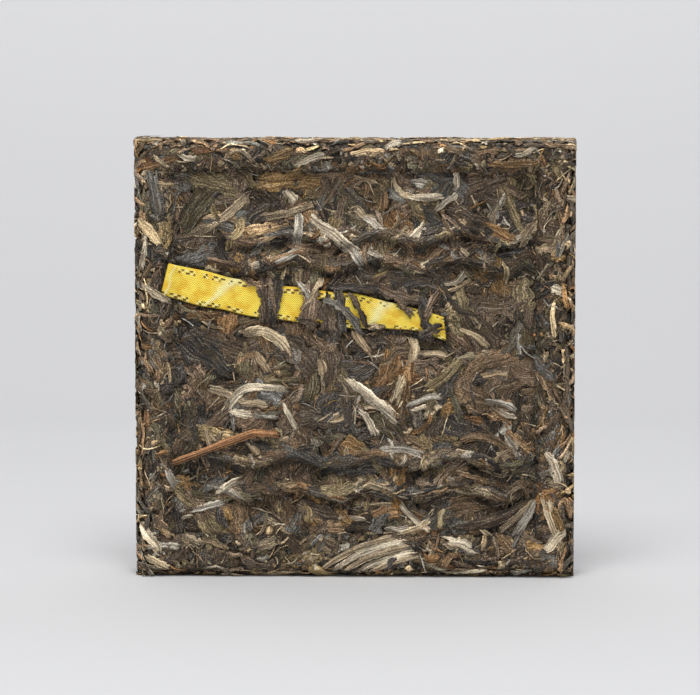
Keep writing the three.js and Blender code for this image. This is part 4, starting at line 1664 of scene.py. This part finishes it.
SHOWN_BROWN = listed(
    (-45.8, 93.4, -44.7, 88.6, -44, 81.8, 2.9, SLATE),
    (-48.7, 93.5, -46.9, 94.4, -45, 96.2, 1.6, BRICK_RED),
    (-48.9, 93.2, -44.6, 94.2, -39.8, 95.8, 1.4, RUST), (-45.5, 96.7, -44.2, 94.8, -41.6, 93.4, 1, STRAW),
    (-29.3, 94.8, -26.2, 100.2, -22.6, 94.4, 0.9, TAN),
    (-28.8, 96.2, -26.9, 96.9, -24.9, 96, 2.2, AMBER, 0.3),
    (-36.8, 97.2, -34.6, 97.8, -32.2, 98, 1.9, BRICK_RED),
    (-20.4, 94.8, -17.4, 96, -14.2, 97.2, 2.3, AMBER), (-38.4, 78, -30, 80.4, -24, 87.2, 2.3, TAN, 0.35),
    (-21.6, 82, -14.6, 83, -8.6, 85.2, 1.9, TAN), (33, 89.4, 35.4, 84, 38.2, 78.2, 2.2, OLIVE),
    (34.4, 88.6, 33.6, 86.4, 32.8, 84.6, 1.2, SILVER), (37.4, 76.2, 40.4, 81.4, 45.4, 85.2, 2.4, TAN),
    (29.2, 80.8, 33.3, 78.2, 37.2, 76.8, 2.6, RUST), (24.4, 87, 29.4, 90.4, 34.8, 91.6, 1.5, PEAT),
    (30, 94.6, 36.4, 94.1, 42.4, 95, 1.5, RUST), (44, 73.8, 45.7, 74.2, 47, 72.6, 2.5, AMBER),
    (-26.4, 56.6, -24.4, 55.4, -21.4, 55.8, 1.2, TAN), (24, 50.4, 21.4, 45.8, 16.2, 43.2, 2.4, OLIVE),
    (24, 31.2, 30, 34.6, 36.8, 27.6, 2, UMBER), (17.2, 38, 17.4, 34.2, 12.8, 33, 1.1, RUST),
    (24, 11.6, 33.6, 12.4, 41.8, 18.2, 3, PEAT), (42.6, 18.4, 46, 14.4, 47.6, 10.2, 2, AMBER),
    (-6.8, 17.6, -3.8, 19.4, -1, 16.8, 1.3, BRICK_RED),
    (-47.2, 38.1, -47.2, 36.2, -47, 34.2, 1.4, BRICK_RED),
    (-34.8, 19, -32.4, 21.6, -28.6, 23.6, 2, SLATE, 0.3),
    (-42.8, 21.2, -38.4, 17.8, -34.4, 13.4, 2.1, OLIVE, 0.3),
    (-29.6, 16.2, -28.8, 14.4, -28.4, 12.8, 1.7, AMBER),
)
SHOWN_BROAD = listed(
    (-38, 91.6, -31.7, 89.6, -24.6, 87.8, 6, OLIVE, 0.25),
    (-22.8, 90.2, -13.7, 91.2, -4.6, 89.2, 4, AMBER, 0.25),
    (-43.2, 88.6, -41.2, 87, -39.4, 85, 3.2, AMBER, 0.2), (20.6, 84.2, 26, 82, 31, 79.2, 4.2, PEAT, 0.3),
    (-42.2, 15.6, -41.4, 11.8, -40, 7.8, 4.2, COAL, 0.25),
    (-34.8, 14.4, -31.8, 10.2, -28.6, 6, 5.4, OLIVE, 0.2),
    (-27.4, 18, -26.8, 13.2, -25.6, 8.4, 5.4, UMBER, 0.15),
    (-6.4, 15, -3.4, 13.8, -0.4, 11.8, 4.4, AMBER, 0.25), (7.4, 16.8, 5.6, 12.8, 3.4, 9, 3.8, SLATE, 0.3),
    (-6, 52.8, -4.6, 47.4, -5.4, 41.6, 5, PEAT, 0.2), (-28, 30.6, -19, 28.6, -10, 29.8, 4, COAL, 0.2),
    (25, 62, 31.4, 63.4, 38, 60.4, 4.8, BARK, 0.2), (-40, 54.2, -34, 51, -27.4, 46.4, 5.6, COAL, 0.3),
    (-43, 49.8, -41.4, 46.8, -39, 44.2, 4.4, COAL, 0.25),
    (-16.8, 54.6, -12, 51.4, -7.8, 45.8, 6.2, PEAT, 0.3), (9.4, 53, 7.6, 47, 4.6, 41.4, 4.2, RUST, 0.25),
    (-7.6, 25.6, -1, 26.4, 6.2, 24.2, 4.8, COAL, 0.35),
    (-18.4, 30.6, -11.6, 27.6, -3.4, 25.2, 3.8, SLATE, 0.3),
    (-13, 17.2, -7.6, 15, -2, 13.8, 4.6, PEAT, 0.3), (-40, 22.6, -38, 21.2, -36, 19.4, 2.8, AMBER, 0.25),
    (22.8, 76.4, 19, 80, 13, 84.2, 5, COAL, 0.2), (26.4, 86.6, 21, 90, 14, 92.6, 4.6, SLATE, 0.2),
    (36, 50.8, 30, 50, 25.2, 46.4, 4.8, UMBER, 0.25), (-30.8, 66.6, -27, 73, -21, 77, 4, PEAT, 0.2),
    (-40.6, 71, -35, 74, -28.4, 74.4, 4.4, SLATE, 0.2), (20, 36.4, 25, 33, 30.6, 32, 4.6, COAL, 0.2),
    (18, 14.4, 24, 17.8, 31, 17, 4.8, UMBER, 0.25), (-36, 35, -41, 32, -42.6, 27, 4.2, PEAT, 0.2),
    (22.4, 30, 17, 27, 12.4, 25.6, 3.8, SLATE, 0.3),
)
# Tufts: the number of the wave and the place across the brick.
TUFTS = ((0, -9.0), (0, 2.0), (0, 9.5), (1, 3.5), (1, 13.5), (0, 22.0), (1, 29.5), (0, 33.5), (1, -22.0),
         (2, 10.0), (2, 17.0), (3, 2.0), (3, 8.0), (2, -21.5), (3, -17.0), (3, 25.0), (2, 31.0))
CROSSING = listed(
    (-21, 69.6, -19.9, 63, -19.8, 56.4, 3, PEAT, 0.15),
    (-17, 69.2, -17.9, 63.4, -19.4, 57, 2.6, COAL, 0.25),
    (-19.4, 69, -18.6, 63.8, -17.6, 58.4, 1.3, BARK, 0.4),
    (-9.8, 69, -9.8, 62.4, -10.6, 54.6, 3.6, BARK, 0.15),
    (-6.8, 64.2, -6.4, 60, -4.6, 54.2, 4.6, PEAT, 0.15),
    (-7.4, 68.6, -8.6, 65.4, -12.2, 61.2, 1.2, TAN, 0.4),
    (-3.4, 66.6, -3.8, 62.4, -2.4, 55.4, 2.4, COAL, 0.25),
    (-6.9, 63.2, -1.8, 63.4, 2, 54.8, 1.7, SLATE, 0.4), (-5.6, 67, 0.6, 65.6, 9.2, 66.6, 1.9, COAL, 0.3),
    (-1.4, 65.2, 1, 62.6, 2.8, 57.2, 1.3, PEAT, 0.42), (15, 65.6, 15.8, 60, 17.2, 53.4, 2.4, COAL, 0.2),
    (19.8, 66.4, 16.8, 62.8, 15.4, 57.6, 1.6, BARK, 0.35),
    (14.6, 54.8, 16.8, 56.9, 19.3, 57.2, 2.2, COAL, 0.45),
    (8.8, 64.8, 11, 62.2, 13.2, 59.8, 1.6, BARK, 0.45), (3.4, 57.4, 5, 57.7, 6.6, 57.2, 1.3, TAN, 0.4),
    (2.8, 67, 9.6, 64.2, 15.6, 63.4, 2.8, PEAT, 0.3),
    (-25, 68.6, -21.8, 66.2, -19.6, 66.8, 1.6, UMBER, 0.3),
    (-13, 67.6, -11, 66.4, -9.8, 62.8, 1.3, SILVER, 0.4),
    (-12.8, 58.6, -10.6, 59.4, -8.2, 57.4, 1.6, PEAT, 0.35),
)


@dataclass
class Twig:
    """The reddish twig that lies across the lower left of the recess."""

    stem: Shown = Shown((-44.2, 25.0), (-22.2, 33.6), (-17.0, 32.6), 1.75, BRICK_RED, 1.2)
    bark: LeafFinish = LeafFinish(
        "twig bark", lightness=3.0, warm_share=0.1, streak=(0.66, 0.42, 0.26, 1.0),
        fibre_pitch=0.3, fibre_run=14.0, fibre_depth=1.5, grit_depth=0.6)

    def build(self, form: BrickForm, ribbon: Ribbon) -> None:
        """Lay the twig as one leaf of its own kind."""
        leaves = Foliage(form, ribbon, self.bark.make())
        leaves.lay("twig", TWIG, {Side.FRONT: leaves.shown([self.stem])}, 42)


@dataclass
class TeaBrick:
    """The whole brick: the core, the leaves on its six sides, the twig and the ribbon."""

    form: BrickForm
    dry_leaf: LeafFinish = LeafFinish("dry leaf")
    pale_bud: LeafFinish = LeafFinish(
        "pale bud", warm_share=0.3, streak=(0.66, 0.6, 0.48, 1.0), roughness=0.66,
        fibre_pitch=0.42, fibre_run=9.0, lightness=1.85, grit_depth=0.55)

    def build(self) -> None:
        """Build every piece in order."""
        ribbon = Ribbon(self.form)
        ribbon.build()
        PackedCore(self.form).build()
        leaves = Foliage(self.form, ribbon, self.dry_leaf.make())
        pale = Foliage(self.form, ribbon, self.pale_bud.make())
        for name, kind, seed, spreads in SCATTERED:
            leaves.lay(name, kind, {spread.side: leaves.spread(kind, spread) for spread in spreads}, seed)
        leaves.lay("wave_strips", WAVE_STRIP, {Side.FRONT: leaves.along_waves(WAVE_STRIP, 34, 27)}, 37)
        leaves.lay("tuft_strips", TUFT_STRIP, {Side.FRONT: leaves.tufts(TUFT_STRIP, TUFTS, 10, 54)}, 55)
        pale.lay("buds", BUD, {spread.side: pale.spread(BUD, spread) for spread in SCATTERED_BUDS}, 38)
        self._lay_shown(pale, "shown_buds", SHOWN_BUD, SHOWN_PALE, 39)
        self._lay_shown(leaves, "shown_leaves", SHOWN_LEAF, SHOWN_BROWN, 40)
        self._lay_shown(leaves, "shown_blades", SHOWN_BLADE, SHOWN_BROAD, 50)
        leaves.lay("crossing_leaves", CROSSING_LEAF, {Side.FRONT: leaves.shown(CROSSING, True)}, 41)
        Twig().build(self.form, ribbon)

    def _lay_shown(self, leaves: Foliage, name: str, kind: LeafKind, shown: list[Shown], seed: int) -> None:
        """Lay listed leaves, those whose middle is on the rim apart from those in the recess.

        Args:
            leaves: The foliage that lays them.
            name: The piece's name.
            kind: The kind of leaf.
            shown: The leaves.
            seed: The seed of their unevenness.
        """
        x, z = np.array([leaf.middle for leaf in shown]).T
        on_rim = self.form.rim_inward(x, z) < self.form.rim_end + 0.4
        batches = {}
        for side, wanted in ((Side.FRONT, False), (Side.RIM, True)):
            group = [leaf for leaf, here in zip(shown, on_rim) if here == wanted]
            if group:
                batches[side] = leaves.shown(group)
        leaves.lay(name, kind, batches, seed)


@dataclass
class Studio:
    """The pale floor and wall, the soft light and the camera."""

    form: BrickForm
    distance: float = 930.0
    pitch: float = 7.0
    yaw: float = 1.5
    aim: tuple[float, float] = (-1.0, 52.8)
    frame_width: float = 158.4
    sensor: float = 36.0
    far_clip: float = 100.0
    half_width: float = 1500.0
    floor_reach: float = 1600.0
    wall_distance: float = 260.0
    wall_height: float = 1800.0
    sweep_radius: float = 120.0
    floor_color: Color = (0.61, 0.61, 0.615, 1.0)
    wall_color: Color = (0.97, 0.97, 0.985, 1.0)
    sky_color: Color = (0.98, 0.985, 1.0, 1.0)
    sky_strength: float = 0.58
    lamp_place: tuple[float, float, float] = (-30.0, -380.0, 880.0)
    lamp_aim: tuple[float, float, float] = (0.0, 0.0, 50.0)
    lamp_size: float = 460.0
    lamp_power: float = 6.2

    def build(self) -> None:
        """Build the backdrop, the lights and the camera."""
        self._backdrop()
        self._lights()
        self._camera()

    def _backdrop(self) -> None:
        """Make a flat floor, and a wall that leaves it in a quarter circle and then stands upright."""
        turn = np.linspace(0, math.pi / 2, 24)
        bend_y = self.wall_distance + self.sweep_radius * np.sin(turn)
        bend_z = self.sweep_radius * (1 - np.cos(turn))
        finish = PlainFinish("pale backdrop", self.floor_color, self.wall_color).make()
        self._sheet("floor", np.linspace(-self.floor_reach, self.floor_reach, 9), np.zeros(9), finish)
        self._sheet("wall", np.append(bend_y, bend_y[-1]), np.append(bend_z, self.wall_height), finish)

    def _sheet(self, name: str, y: np.ndarray, z: np.ndarray, finish: bpy.types.Material) -> None:
        """Carry a profile from left to right as a sheet that faces up and to the front.

        Args:
            name: The sheet's name.
            y: The profile's places from front to back, in millimetres.
            z: The profile's heights.
            finish: The material.
        """
        x = np.linspace(-self.half_width, self.half_width, 13)
        points = np.stack(np.broadcast_arrays(x[:, None], y[None, :], z[None, :]), axis=-1)
        numbers = np.arange(len(x) * len(y)).reshape(1, len(x), len(y))
        mesh = make_mesh(name, points.reshape(-1, 3), cells(numbers).reshape(-1, 4))
        mesh.materials.append(finish)
        sheet = bpy.data.objects.new(name, mesh)
        bpy.context.scene.collection.objects.link(sheet)

    def _lights(self) -> None:
        """Add an even sky and one large soft lamp."""
        world = bpy.data.worlds.new("studio")
        world.use_nodes = True
        background = world.node_tree.nodes["Background"]
        background.inputs["Color"].default_value = self.sky_color
        background.inputs["Strength"].default_value = self.sky_strength
        bpy.context.scene.world = world
        lamp = bpy.data.lights.new("key", "AREA")
        lamp.size = self.lamp_size * MM
        lamp.energy = self.lamp_power
        self._stand(lamp, np.array(self.lamp_place), np.array(self.lamp_aim))

    @staticmethod
    def _stand(data: bpy.types.ID, place: np.ndarray, target: np.ndarray) -> bpy.types.Object:
        """Stand a lamp or the camera at a place, turned to a target.

        Args:
            data: The lamp or the camera.
            place: Where it stands, in millimetres.
            target: What it looks at.

        Returns:
            The new object.
        """
        thing = bpy.data.objects.new(data.name, data)
        bpy.context.scene.collection.objects.link(thing)
        thing.location = Vector(place * MM)
        thing.rotation_euler = Vector((target - place) * MM).to_track_quat("-Z", "Y").to_euler()
        return thing

    def _camera(self) -> None:
        """Add the camera, a little above the brick and turned slightly to its right."""
        camera = bpy.data.cameras.new("camera")
        camera.sensor_width = self.sensor
        camera.lens = self.sensor * self.distance / self.frame_width
        camera.clip_end = self.far_clip
        target = np.array([self.aim[0], self.form.front, self.aim[1]])
        pitch, yaw = math.radians(self.pitch), math.radians(self.yaw)
        away = np.array([math.sin(yaw) * math.cos(pitch), -math.cos(yaw) * math.cos(pitch), math.sin(pitch)])
        bpy.context.scene.camera = self._stand(camera, target + away * self.distance, target)


def main() -> None:
    """Build the brick and the studio round it."""
    logging.basicConfig(level=logging.INFO, format="%(message)s")
    low, high = (np.array(corner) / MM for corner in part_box("brick"))
    form = BrickForm(side=float(high[0] - low[0]), thickness=float(high[1] - low[1]))
    Studio(form).build()
    TeaBrick(form).build()
    bpy.context.scene.view_settings.view_transform = "Standard"


if __name__ == "__main__":
    main()
